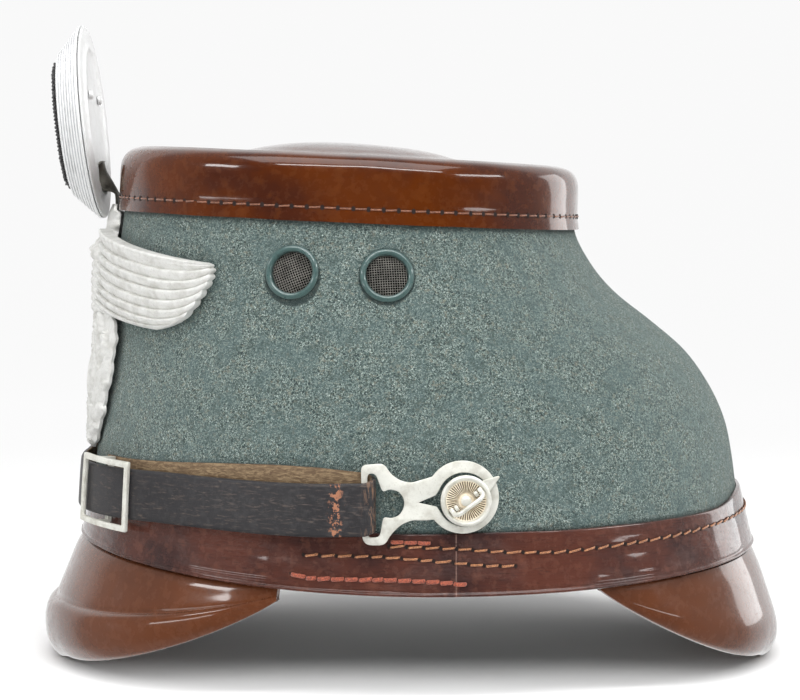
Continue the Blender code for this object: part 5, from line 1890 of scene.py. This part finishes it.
def felt_finish():
    felt = Finish("mottled_felt")
    fibres = felt.noise(1.9, 3.0, 0.7, distortion=0.8)
    fine = felt.noise(4.2, 2.0, 0.6)
    patches = felt.noise(0.13, 3.0, 0.6)
    tint = felt.noise(0.8, 2.0, 0.6, (1.0, 1.0, 1.3))
    dark = srgb(30, 42, 43)
    middle = srgb(80, 93, 89)
    pale = srgb(180, 190, 184)
    tan = srgb(118, 112, 96)
    colour = felt.blend(fibres.between(0.40, 0.54), dark, middle)
    colour = felt.blend((fine * 0.6 + fibres * 0.5).between(0.56, 0.72) * 0.8, colour, pale)
    colour = felt.blend(tint.between(0.54, 0.70) * 0.42, colour, tan)
    colour = felt.blend(patches.between(0.40, 0.66) * 0.5, colour, srgb(70, 86, 86))
    blots = felt.noise(0.32, 3.0, 0.65)
    colour = felt.blend(blots.between(0.50, 0.68) * 0.5, colour, srgb(54, 66, 64))
    # painted shade: a dark ring on the felt round each vent's eyelet, where the raised ring would
    # shade it; seen from the side, each is a circle
    from_side = felt.stretched(1.0, 0.0, 1.0)
    vent_ring_shade = 0.0
    for x, z in VENTS:
        middle_of_vent = (x, 0.0, at_height(*wall_place(x, z)).z)
        away = felt.node("ShaderNodeVectorMath", {"operation": "DISTANCE"},
                         {0: from_side, 1: middle_of_vent}, "Value")
        vent_ring_shade = (1.0 - away.between(*VENT_RING_SHADE)) + vent_ring_shade
    colour = felt.blend(vent_ring_shade.held() * 0.75, colour, srgb(26, 36, 36))
    # painted shade: the felt is also darkened just below the top's lower edge and just above the
    # band, where they stand out from it
    level = felt.axis("Z") + felt.axis("X") * crown_row(CAP_LOW)["slope"]
    shade_under_top = level.between(CAP_LOW - 1.8, CAP_LOW - 0.3)
    shade_over_band = 1.0 - felt.axis("Z").between(BAND_TOP - 0.5, BAND_TOP + 1.6)
    colour = felt.blend((shade_under_top + shade_over_band).held() * 0.6, colour, srgb(24, 30, 30))
    height = fibres * 0.7 + fine * 0.5 + patches * 0.3
    return felt.shade(Base_Color=colour, Roughness=0.95, Specular_IOR_Level=0.1,
                      Sheen_Weight=0.22, Sheen_Roughness=0.5,
                      Sheen_Tint=srgb(205, 212, 208),
                      Normal=felt.bump(height, 0.8, 0.5))


wear(felt_finish(), crown)

# %% [markdown]
# ## Lacquered leather
#
# The top, the visors and the band are brown leather under old lacquer. The lacquer is a clear
# coat: a second, sharper gloss over the softer one below. It is worn, so fine scratches, dents and
# cloudy patches break the gloss, and the colour shifts where the leather has darkened. Pale milky
# patches on the visors and the band are partly crazed lacquer and partly painted reflection.

# %% Lacquered leather
# the colour of the pale milky patches, partly crazed lacquer and partly painted reflection
HAZE_AND_REFLECTION_COLOUR = srgb(152, 138, 134)


def lacquer_finish(name, base, deep, bright, cloudiness, grain, dents, haze_and_reflection=0.0, lines=0.0,
                   seam=None):
    leather = Finish(name)
    clouds = leather.noise(0.035, 4.0, 0.6)
    mottle = leather.noise(0.35, 4.0, 0.6)
    streaks = leather.noise(0.5, 4.0, 0.65, (0.35, 0.35, 1.6), 0.8)
    pores = leather.noise(2.6, 3.0, 0.6)
    fine = leather.noise(1.1, 5.0, 0.7, (0.14, 0.14, 2.6), 1.4)
    chips = leather.noise(0.8, 5.0, 0.75, (0.7, 0.7, 1.3), 0.4)
    colour = leather.blend(clouds.between(0.38, 0.66) * cloudiness, base, deep)
    colour = leather.blend(mottle.between(0.5, 0.75) * 0.45, colour, bright)
    colour = leather.blend(streaks.between(0.55, 0.75) * 0.35, colour, deep)
    scuffs = fine.between(0.645, 0.70)
    colour = leather.blend(scuffs * 0.4, colour, bright)
    # pale milky patches, broken up by fine lines: partly crazed lacquer, partly painted reflection
    # of pale light
    milky = leather.noise(0.055, 4.0, 0.6, (0.7, 0.7, 1.3), 0.5)
    crazed = leather.noise(0.9, 4.0, 0.7, (0.35, 0.35, 1.2), 1.0)
    haze_and_reflection_mask = milky.between(0.53, 0.72) * (0.35 + 0.65 * crazed.between(0.40, 0.62)) * haze_and_reflection
    colour = leather.blend(haze_and_reflection_mask.held(), colour, HAZE_AND_REFLECTION_COLOUR)
    if seam:
        # where the band's two ends meet, on the near side only
        join = leather.axis("X")
        line = join.between(seam - 0.3, seam) * (1.0 - join.between(seam, seam + 0.3))
        line = line * (1.0 - leather.axis("Y").between(-2.0, 0.0))
        colour = leather.blend(line * 0.45, colour, srgb(138, 112, 102))
    if lines:
        colour = leather.blend(fine.between(0.56, 0.64) * lines, colour, srgb(34, 22, 20))
    rough = 0.2 + 0.16 * mottle.between(0.35, 0.75) + 0.22 * scuffs
    dent = leather.noise(0.085, 2.0, 0.5, (0.8, 0.8, 1.5), 0.3)
    height = (mottle * 0.9 * dents + streaks * 0.8 * dents + pores * 0.12 * grain
              + dent * 3.2 * dents - scuffs * 0.14 - chips.between(0.68, 0.74) * 0.25)
    normal = leather.bump(height, 0.4, 0.35)
    return leather.shade(Base_Color=colour, Roughness=rough, Coat_Weight=0.95 - 0.6 * scuffs,
                         Specular_IOR_Level=0.12, Coat_Roughness=0.07, Coat_IOR=1.42,
                         Normal=normal)


wear(lacquer_finish("brown_lacquer", srgb(72, 31, 4), srgb(42, 19, 15), srgb(86, 42, 6),
                    cloudiness=0.75, grain=0.6, dents=0.22), top)
wear(lacquer_finish("visor_lacquer", srgb(80, 44, 25), srgb(60, 36, 27), srgb(92, 54, 32),
                    cloudiness=0.5, grain=0.4, dents=0.4, haze_and_reflection=0.05), front_visor, rear_visor)
wear(lacquer_finish("band_leather", srgb(72, 41, 33), srgb(40, 27, 27), srgb(98, 60, 46),
                    cloudiness=0.9, grain=1.0, dents=1.8, haze_and_reflection=0.08, lines=0.7,
                    seam=at_height(BAND_SEAM, 43.0, 3.0).x), band)

# %% [markdown]
# ## Strap leather
#
# The strap is black on its face, with the dye rubbed off in places down to the brown leather:
# at the fold round the fitting and across an old row of stitches. Its flesh side, which shows
# above the outer leg, is bare tan leather. The mesh has a second material for that side.

# %% Strap leather
# where each worn place starts and ends along the hat
WORN_ROW = (-24.0, -19.8)
WORN_FOLD = (-14.5, -9.5)


def strap_finish():
    leather = Finish("strap_leather")
    x = leather.axis("X")
    mottle = leather.noise(0.5, 4.0, 0.6)
    grain = leather.noise(2.8, 3.0, 0.6)
    streaks = leather.noise(0.8, 4.0, 0.7, (0.3, 0.3, 2.2), 0.6)
    spots = leather.noise(0.55, 4.0, 0.65, (1.0, 1.0, 0.9))
    scrapes = leather.noise(0.8, 5.0, 0.7, (1.6, 1.0, 0.25), 0.5)
    in_row = x.between(WORN_ROW[0] - 1.0, WORN_ROW[0] + 1.5) * (
        1.0 - x.between(WORN_ROW[1] - 1.5, WORN_ROW[1] + 1.0))
    in_fold = x.between(WORN_FOLD[0] - 1.5, WORN_FOLD[0] + 3.0) * (
        1.0 - x.between(WORN_FOLD[1], WORN_FOLD[1] + 3.0))
    row = (spots + in_row * 0.10).between(0.59, 0.66) * in_row
    fold = (scrapes + in_fold * 0.08).between(0.57, 0.66) * in_fold
    colour = leather.blend(mottle.between(0.45, 0.7) * 0.6, srgb(36, 35, 37), srgb(50, 49, 50))
    colour = leather.blend(streaks.between(0.52, 0.72) * 0.6, colour, srgb(88, 76, 68))
    colour = leather.blend(fold * 0.7, colour, srgb(116, 88, 68))
    colour = leather.blend(row * 0.7, colour, srgb(154, 102, 74))
    rough = 0.42 + 0.2 * mottle + 0.2 * row
    height = mottle * 0.5 + grain * 0.3 + streaks * 0.5 - row * 0.5 - fold * 0.3
    return leather.shade(Base_Color=colour, Roughness=rough, Coat_Weight=0.12,
                         Specular_IOR_Level=0.3, Coat_Roughness=0.3,
                         Normal=leather.bump(height, 0.45, 0.3))


def flesh_finish():
    flesh = Finish("strap_flesh_side")
    fibres = flesh.noise(0.9, 4.0, 0.7, (0.4, 0.4, 1.8), 0.7)
    patches = flesh.noise(0.2, 3.0, 0.6)
    colour = flesh.blend(fibres.between(0.38, 0.66), srgb(84, 68, 52), srgb(126, 108, 84))
    colour = flesh.blend(patches.between(0.45, 0.7) * 0.45, colour, srgb(80, 64, 50))
    return flesh.shade(Base_Color=colour, Roughness=0.85, Specular_IOR_Level=0.2,
                       Normal=flesh.bump(fibres, 0.6, 0.35))


wear(strap_finish(), strap)
strap.data.materials.append(flesh_finish())
# the second half of each section of the ribbon is its flesh side
for polygon in strap.data.polygons:
    around = polygon.index % (2 * len(RIBBON))
    polygon.material_index = int(len(RIBBON) <= around < 2 * len(RIBBON) - 1)

# %% [markdown]
# ## Metals
#
# The fittings are cast aluminium with a slightly grainy skin, brighter where they are rubbed.
# A metal shows mostly what it reflects, so roughness that varies matters more than colour.

# %% Metals
def cast_finish(name, colour_dark, colour_light, roughness, grain, metallic, stain=1.0):
    metal = Finish(name)
    skin = metal.noise(2.2, 3.0, 0.6)
    stains = metal.noise(0.25, 4.0, 0.6)
    brushed = metal.noise(3.5, 3.0, 0.6, (0.4, 0.4, 2.5))
    colour = metal.blend(stains.between(0.38, 0.7) * stain, colour_light, colour_dark)
    colour = metal.blend(skin.between(0.56, 0.72) * 0.4, colour, colour_dark)
    rough = roughness + 0.14 * skin + 0.1 * stains
    height = skin * grain + brushed * 0.2
    return metal.shade(Base_Color=colour, Metallic=metallic, Roughness=rough,
                       Normal=metal.bump(height, 0.35, 0.18))


fitting_metal = cast_finish("fitting_aluminium", srgb(184, 181, 170), srgb(222, 222, 214),
                            0.36, 0.5, 0.55, 0.7)
badge_metal = cast_finish("badge_aluminium", srgb(168, 166, 158), srgb(220, 220, 217), 0.44,
                          1.1, 0.55, 0.4)
cockade_finish = cast_finish("cockade_aluminium", srgb(200, 200, 197), srgb(226, 227, 227),
                             0.38, 0.3, 0.5, 0.3)
# painted shade: a darker copy of the cockade's metal, for the grooves between its ribs
groove_shade_finish = cast_finish("cockade_groove", srgb(164, 165, 168), srgb(192, 193, 196),
                            0.45, 0.3, 0.5)
steel_finish = cast_finish("dark_steel", srgb(58, 57, 52), srgb(112, 110, 102), 0.3, 0.5, 0.85)
wire_finish = cast_finish("wire", srgb(84, 83, 79), srgb(132, 130, 124), 0.35, 0.2, 0.5)
wear(fitting_metal, near_buckle, far_buckle, near_fitting, far_fitting, near_button,
     far_button, near_handle, far_handle)
wear(badge_metal, badge_casting)
wear(cockade_finish, cockade_metal, cockade_plate, *cockade_rivets)
# the grooves between the ribs of the dish get a darker copy of its metal, a painted shade; six
# more rows than the ribs' make its rims
cockade_metal.data.materials.append(groove_shade_finish)
for polygon in cockade_metal.data.polygons:
    row = polygon.index % (RIB_ROWS * COCKADE_RIBS + 6)
    in_groove = 2 < row < RIB_ROWS * COCKADE_RIBS and row % RIB_ROWS in (0, 1)
    polygon.material_index = int(in_groove)
wear(steel_finish, spring_tongue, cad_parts["post_near"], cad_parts["post_far"])
wear(wire_finish, *vent_weaves)


def backing_shade_finish():
    """A black disc behind the woven wire: painted shade for the dark inside of the hat."""
    shade_disc = Finish("vent_backing_shade")
    shade_disc_tone = shade_disc.noise(0.8, 3.0, 0.6)
    colour = shade_disc.blend(shade_disc_tone.between(0.45, 0.75), srgb(9, 9, 9), srgb(26, 24, 22))
    return shade_disc.shade(Base_Color=colour, Roughness=0.95, Specular_IOR_Level=0.05)


vent_backing_shade = backing_shade_finish()
for weave in vent_weaves:
    weave.data.materials.append(vent_backing_shade)
    first = len(weave.data.polygons) - BACKING_SHADE_SIDES - 2
    for polygon in weave.data.polygons:
        polygon.material_index = int(polygon.index >= first)


DISH_RADIUS = 5.7
DISH_LEVELS = (6.0, 7.0)


def dish_finish():
    """Warm dull metal, with painted shade between the ribs that run out from the middle of the
    dish.
    """
    dish = Finish("button_dish")
    post = post_frame()
    middle = post.translation / MM
    right = post.to_3x3().col[0]
    up = post.to_3x3().col[1]
    # the far button is the near one mirrored, so its places are folded over to the near side
    y = dish.axis("Y")
    dx = dish.axis("X") - middle.x
    dy = -middle.y - y.maths("ABSOLUTE", y)
    dz = dish.axis("Z") - middle.z
    across = dx * right.x + dy * right.y + dz * right.z
    rise = dx * up.x + dy * up.y + dz * up.z
    turn = rise.maths("ARCTAN2", rise, across) * float(BUTTON_RIBS)
    radius = (across * across + rise * rise) ** 0.5
    ribs = turn.maths("COSINE", turn)
    inside = radius.between(2.0, 2.6) * (1.0 - radius.between(5.2, DISH_RADIUS))
    # painted shade: the metal is darkened between the ribs
    groove = (0.5 - ribs * 0.5).between(0.45, 0.8) * inside
    tone = dish.noise(0.6, 3.0, 0.6)
    colour = dish.blend(tone.between(0.35, 0.7), srgb(226, 216, 196), srgb(206, 192, 166))
    colour = dish.blend(groove, colour, srgb(74, 62, 46))
    return dish.shade(Base_Color=colour, Metallic=0.35, Roughness=0.42,
                      Normal=dish.bump(tone, 0.2, 0.1))


# the dish is what lies inside the button's rim
dish_metal = dish_finish()
button_places = post_frame().inverted()
for button, side in ((near_button, 1.0), (far_button, -1.0)):
    button.data.materials.append(dish_metal)
    for polygon in button.data.polygons:
        spot = polygon.center.copy()
        spot.y *= side
        spot = button_places @ spot / MM
        polygon.material_index = int(math.hypot(spot.x, spot.y) < DISH_RADIUS
                                     and DISH_LEVELS[0] < spot.z < DISH_LEVELS[1])


# %% [markdown]
# ## Enamel, cloth and thread
#
# The small pieces get short graphs of the same kind: one or two noises choose between a dark
# and a light colour, and the same noise roughens the surface.

# %% Enamel, cloth and thread
def enamel_finish():
    enamel = Finish("vent_enamel")
    chips = enamel.noise(0.9, 4.0, 0.6)
    colour = enamel.blend(chips.between(0.5, 0.75) * 0.6, srgb(56, 77, 75), srgb(34, 50, 48))
    return enamel.shade(Base_Color=colour, Roughness=0.22 + 0.15 * chips, Coat_Weight=1.0,
                        Coat_Roughness=0.05, Normal=enamel.bump(chips, 0.15, 0.1))


def cloth_finish():
    cloth = Finish("black_cloth")
    weave = cloth.noise(1.6, 2.0, 0.5)
    fleck = cloth.noise(2.8, 2.0, 0.6)
    colour = cloth.blend(fleck.between(0.55, 0.68) * 0.6, srgb(20, 20, 22), srgb(122, 120, 116))
    return cloth.shade(Base_Color=colour, Roughness=0.92, Sheen_Weight=0.2,
                       Normal=cloth.bump(weave, 0.8, 0.5))


def thread_finish(name, colour, dark):
    thread = Finish(name)
    twist = thread.noise(3.2, 2.0, 0.6)
    shade = thread.blend(twist.between(0.4, 0.65), dark, colour)
    return thread.shade(Base_Color=shade, Roughness=0.6, Sheen_Weight=0.3,
                        Normal=thread.bump(twist, 0.6, 0.2))


# painted shade: the needle holes get a dark finish for the shade inside each hole
def hole_shade_finish():
    hole = Finish("needle_hole_shade")
    hole_shade_tone = hole.noise(1.0, 2.0, 0.5)
    colour = hole.blend(hole_shade_tone, srgb(16, 10, 9), srgb(34, 20, 16))
    return hole.shade(Base_Color=colour, Roughness=0.8)


wear(enamel_finish(), *vent_rings)
wear(cloth_finish(), cockade_cloth)
tan_thread = thread_finish("tan_thread", srgb(168, 112, 68), srgb(102, 62, 38))
red_thread = thread_finish("red_thread", srgb(160, 76, 46), srgb(98, 42, 28))
top_thread = thread_finish("top_thread", srgb(136, 86, 58), srgb(80, 46, 30))
hole_shade = hole_shade_finish()
for thread, holes in thread_rows:
    wear(hole_shade, holes)
    if thread.name.startswith("top"):
        wear(top_thread, thread)
    elif thread.name.startswith(("low", "overlap")):
        wear(red_thread, thread)
    else:
        wear(tan_thread, thread)
print("materials:", len(bpy.data.materials))

# %% [markdown]
# ## Camera, light and floor
#
# The photograph was taken from the side, a little above the vents, in a white studio. A long
# lens at 65 cm gives its flat perspective.
#
# The light is what makes lacquer look like lacquer. The lacquer mirrors a graded room, dark in
# front of the hat and white behind it, with a few soft boxes and narrow strips that leave long
# streaks on the top, the band and the visors. So the rounded edges shine, and the faces keep
# their deep colour. The camera sees a white sheet that runs under the hat and curves up behind
# it. The sheet isn't mirrored: like a plain white world, which would be simpler, it would put
# a grey veil over every glossy surface.

# %% Camera
CAMERA_PLACE = (-3.7, -650.0, 150.0)
CAMERA_DROP = 4.6
camera_data = bpy.data.cameras.new("camera")
camera_data.lens = 90.0
camera_data.sensor_width = 36.0
camera_data.clip_start = 0.01
camera_data.clip_end = 20.0
camera = bpy.data.objects.new("camera", camera_data)
bpy.context.scene.collection.objects.link(camera)
camera.location = Vector(CAMERA_PLACE) * MM
camera.rotation_euler = (math.radians(90.0 - CAMERA_DROP), 0.0, 0.0)
bpy.context.scene.camera = camera
print("camera at, mm:", CAMERA_PLACE)


# %% Lights
def area_light(name, place, aim_height, size, power, mirrored=True):
    """A soft box. One that isn't mirrored lights the hat but leaves no reflection on it."""
    light = bpy.data.lights.new(name, "AREA")
    light.shape = "RECTANGLE"
    light.size, light.size_y = size
    light.energy = power
    lamp = bpy.data.objects.new(name, light)
    bpy.context.scene.collection.objects.link(lamp)
    lamp.location = place
    lamp.rotation_mode = "QUATERNION"
    way = Vector((0.0, 0.0, aim_height)) - Vector(place)
    lamp.rotation_quaternion = way.to_track_quat("-Z", "Y")
    lamp.visible_glossy = mirrored
    return lamp


# its place, the height on the Z axis that it looks at and its size, in metres, then its watts
area_light("top_light", (0.0, -0.30, 1.30), 0.1, (1.5, 0.8), 12.0)
area_light("front_light", (-0.1, -1.6, 1.0), 0.1, (1.6, 0.5), 11.8, False)
area_light("low_light", (0.0, -1.7, 0.3), 0.03, (1.6, 0.4), 10.0, False)
area_light("edge_light", (0.10, -0.80, 1.05), 0.15, (1.5, 0.10), 9.0)
area_light("left_box", (-0.94, -0.52, 0.62), 0.06, (0.30, 0.12), 1.8)
area_light("right_box", (0.98, -0.42, 0.68), 0.06, (0.50, 0.14), 2.6)
area_light("left_strip", (-0.95, -0.62, 0.06), 0.05, (0.50, 0.07), 1.0)
area_light("right_strip", (0.98, -0.54, 0.06), 0.05, (0.40, 0.07), 0.7)
area_light("right_back_box", (1.30, 0.85, 0.40), 0.10, (0.60, 0.90), 4.2)
area_light("left_light", (-1.25, 0.1, 0.5), 0.1, (0.6, 0.8), 2.0, False)
area_light("right_light", (1.25, 0.1, 0.5), 0.1, (0.6, 0.8), 1.0, False)
print("lights:", len(bpy.data.lights))

# %% The room
# what the lacquer mirrors: a dark room in front that turns white behind the hat, as
# (share of the way from the front to the back, brightness)
WORLD_STOPS = ((0.22, 0.03), (0.50, 0.34), (0.66, 0.42), (0.78, 0.95))
PALE = 0.94
world = bpy.data.worlds.new("studio")
world.use_nodes = True
sky = world.node_tree.nodes
backdrop = sky["Background"]
way = sky.new("ShaderNodeTexCoord")
axes = sky.new("ShaderNodeSeparateXYZ")
back_share = sky.new("ShaderNodeMapRange")
back_share.inputs["From Min"].default_value = -1.0
ramp = sky.new("ShaderNodeValToRGB")
ramp.color_ramp.interpolation = "EASE"
for index, (position, grey) in enumerate(WORLD_STOPS):
    stops = ramp.color_ramp.elements
    stop = stops[index] if index < 2 else stops.new(position)
    stop.position = position
    stop.color = (grey, grey, grey, 1.0)
# the room itself is seen as pale as the sheet: only what it mirrors and lights is graded
path = sky.new("ShaderNodeLightPath")
seen = sky.new("ShaderNodeMix")
seen.data_type = "RGBA"
seen.inputs[7].default_value = (PALE, PALE, PALE, 1.0)
for leaves, enters in ((way.outputs["Generated"], axes.inputs["Vector"]),
                       (axes.outputs["Y"], back_share.inputs["Value"]),
                       (back_share.outputs["Result"], ramp.inputs["Fac"]),
                       (path.outputs["Is Camera Ray"], seen.inputs[0]),
                       (ramp.outputs["Color"], seen.inputs[6]),
                       (seen.outputs[2], backdrop.inputs["Color"])):
    world.node_tree.links.new(leaves, enters)
bpy.context.scene.world = world
bpy.context.scene.view_settings.view_transform = "Standard"

# %% The white sheet
SHEET_FRONT = -3.0
SHEET_BACK = 0.75
SHEET_BEND = 0.6
SHEET_HIGH = 2.4
SHEET_HALF = 3.0


def white_sheet():
    """A floor that curves up into a wall behind the hat, made in metres."""
    line = [(SHEET_FRONT, 0.0), (0.0, 0.0), (SHEET_BACK * 0.5, 0.0)]
    for step in range(17):
        turn = math.radians(90.0 * step / 16)
        line.append((SHEET_BACK + SHEET_BEND * math.sin(turn),
                     SHEET_BEND * (1.0 - math.cos(turn))))
    line.append((SHEET_BACK + SHEET_BEND, SHEET_HIGH))
    points = []
    for y, z in line:
        points += [(-SHEET_HALF, y, z), (SHEET_HALF, y, z)]
    faces = [(2 * row, 2 * row + 1, 2 * row + 3, 2 * row + 2) for row in range(len(line) - 1)]
    mesh = bpy.data.meshes.new("white_sheet")
    mesh.from_pydata(points, [], faces)
    mesh.shade_smooth()
    sheet = bpy.data.objects.new("white_sheet", mesh)
    bpy.context.scene.collection.objects.link(sheet)
    # the sheet lights the hat and is seen, but the lacquer mirrors the room instead
    sheet.visible_glossy = False
    sheet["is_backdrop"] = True
    return sheet


def paper_finish():
    """White paper. It glows behind, in front and far off, so that it stays white all over."""
    paper = Finish("white_paper")
    depth = paper.axis("Y")
    back = depth.between(90.0, 620.0)
    front = (1.0 - depth.between(-75.0, -15.0)) * depth.between(-560.0, -500.0)
    across = paper.axis("X")
    far = ((depth * depth + across * across) ** 0.5).between(900.0, 1500.0)
    glow = back * PALE + front * 0.6 + far * (1.0 - back) * (1.0 - front) * PALE
    white = paper.blend(glow, srgb(0, 0, 0), srgb(255, 255, 255))
    fade = paper.blend((back + far).held(), srgb(236, 236, 236), srgb(16, 16, 16))
    return paper.shade(Base_Color=fade, Roughness=0.9,
                       Specular_IOR_Level=0.1, Emission_Color=white, Emission_Strength=1.0)


sheet = white_sheet()
wear(paper_finish(), sheet)
print("white sheet:", len(sheet.data.polygons), "faces")

# %% Sizes
low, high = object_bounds()
print("visual box, mm:", [[round(value / MM, 1) for value in corner] for corner in (low, high)])
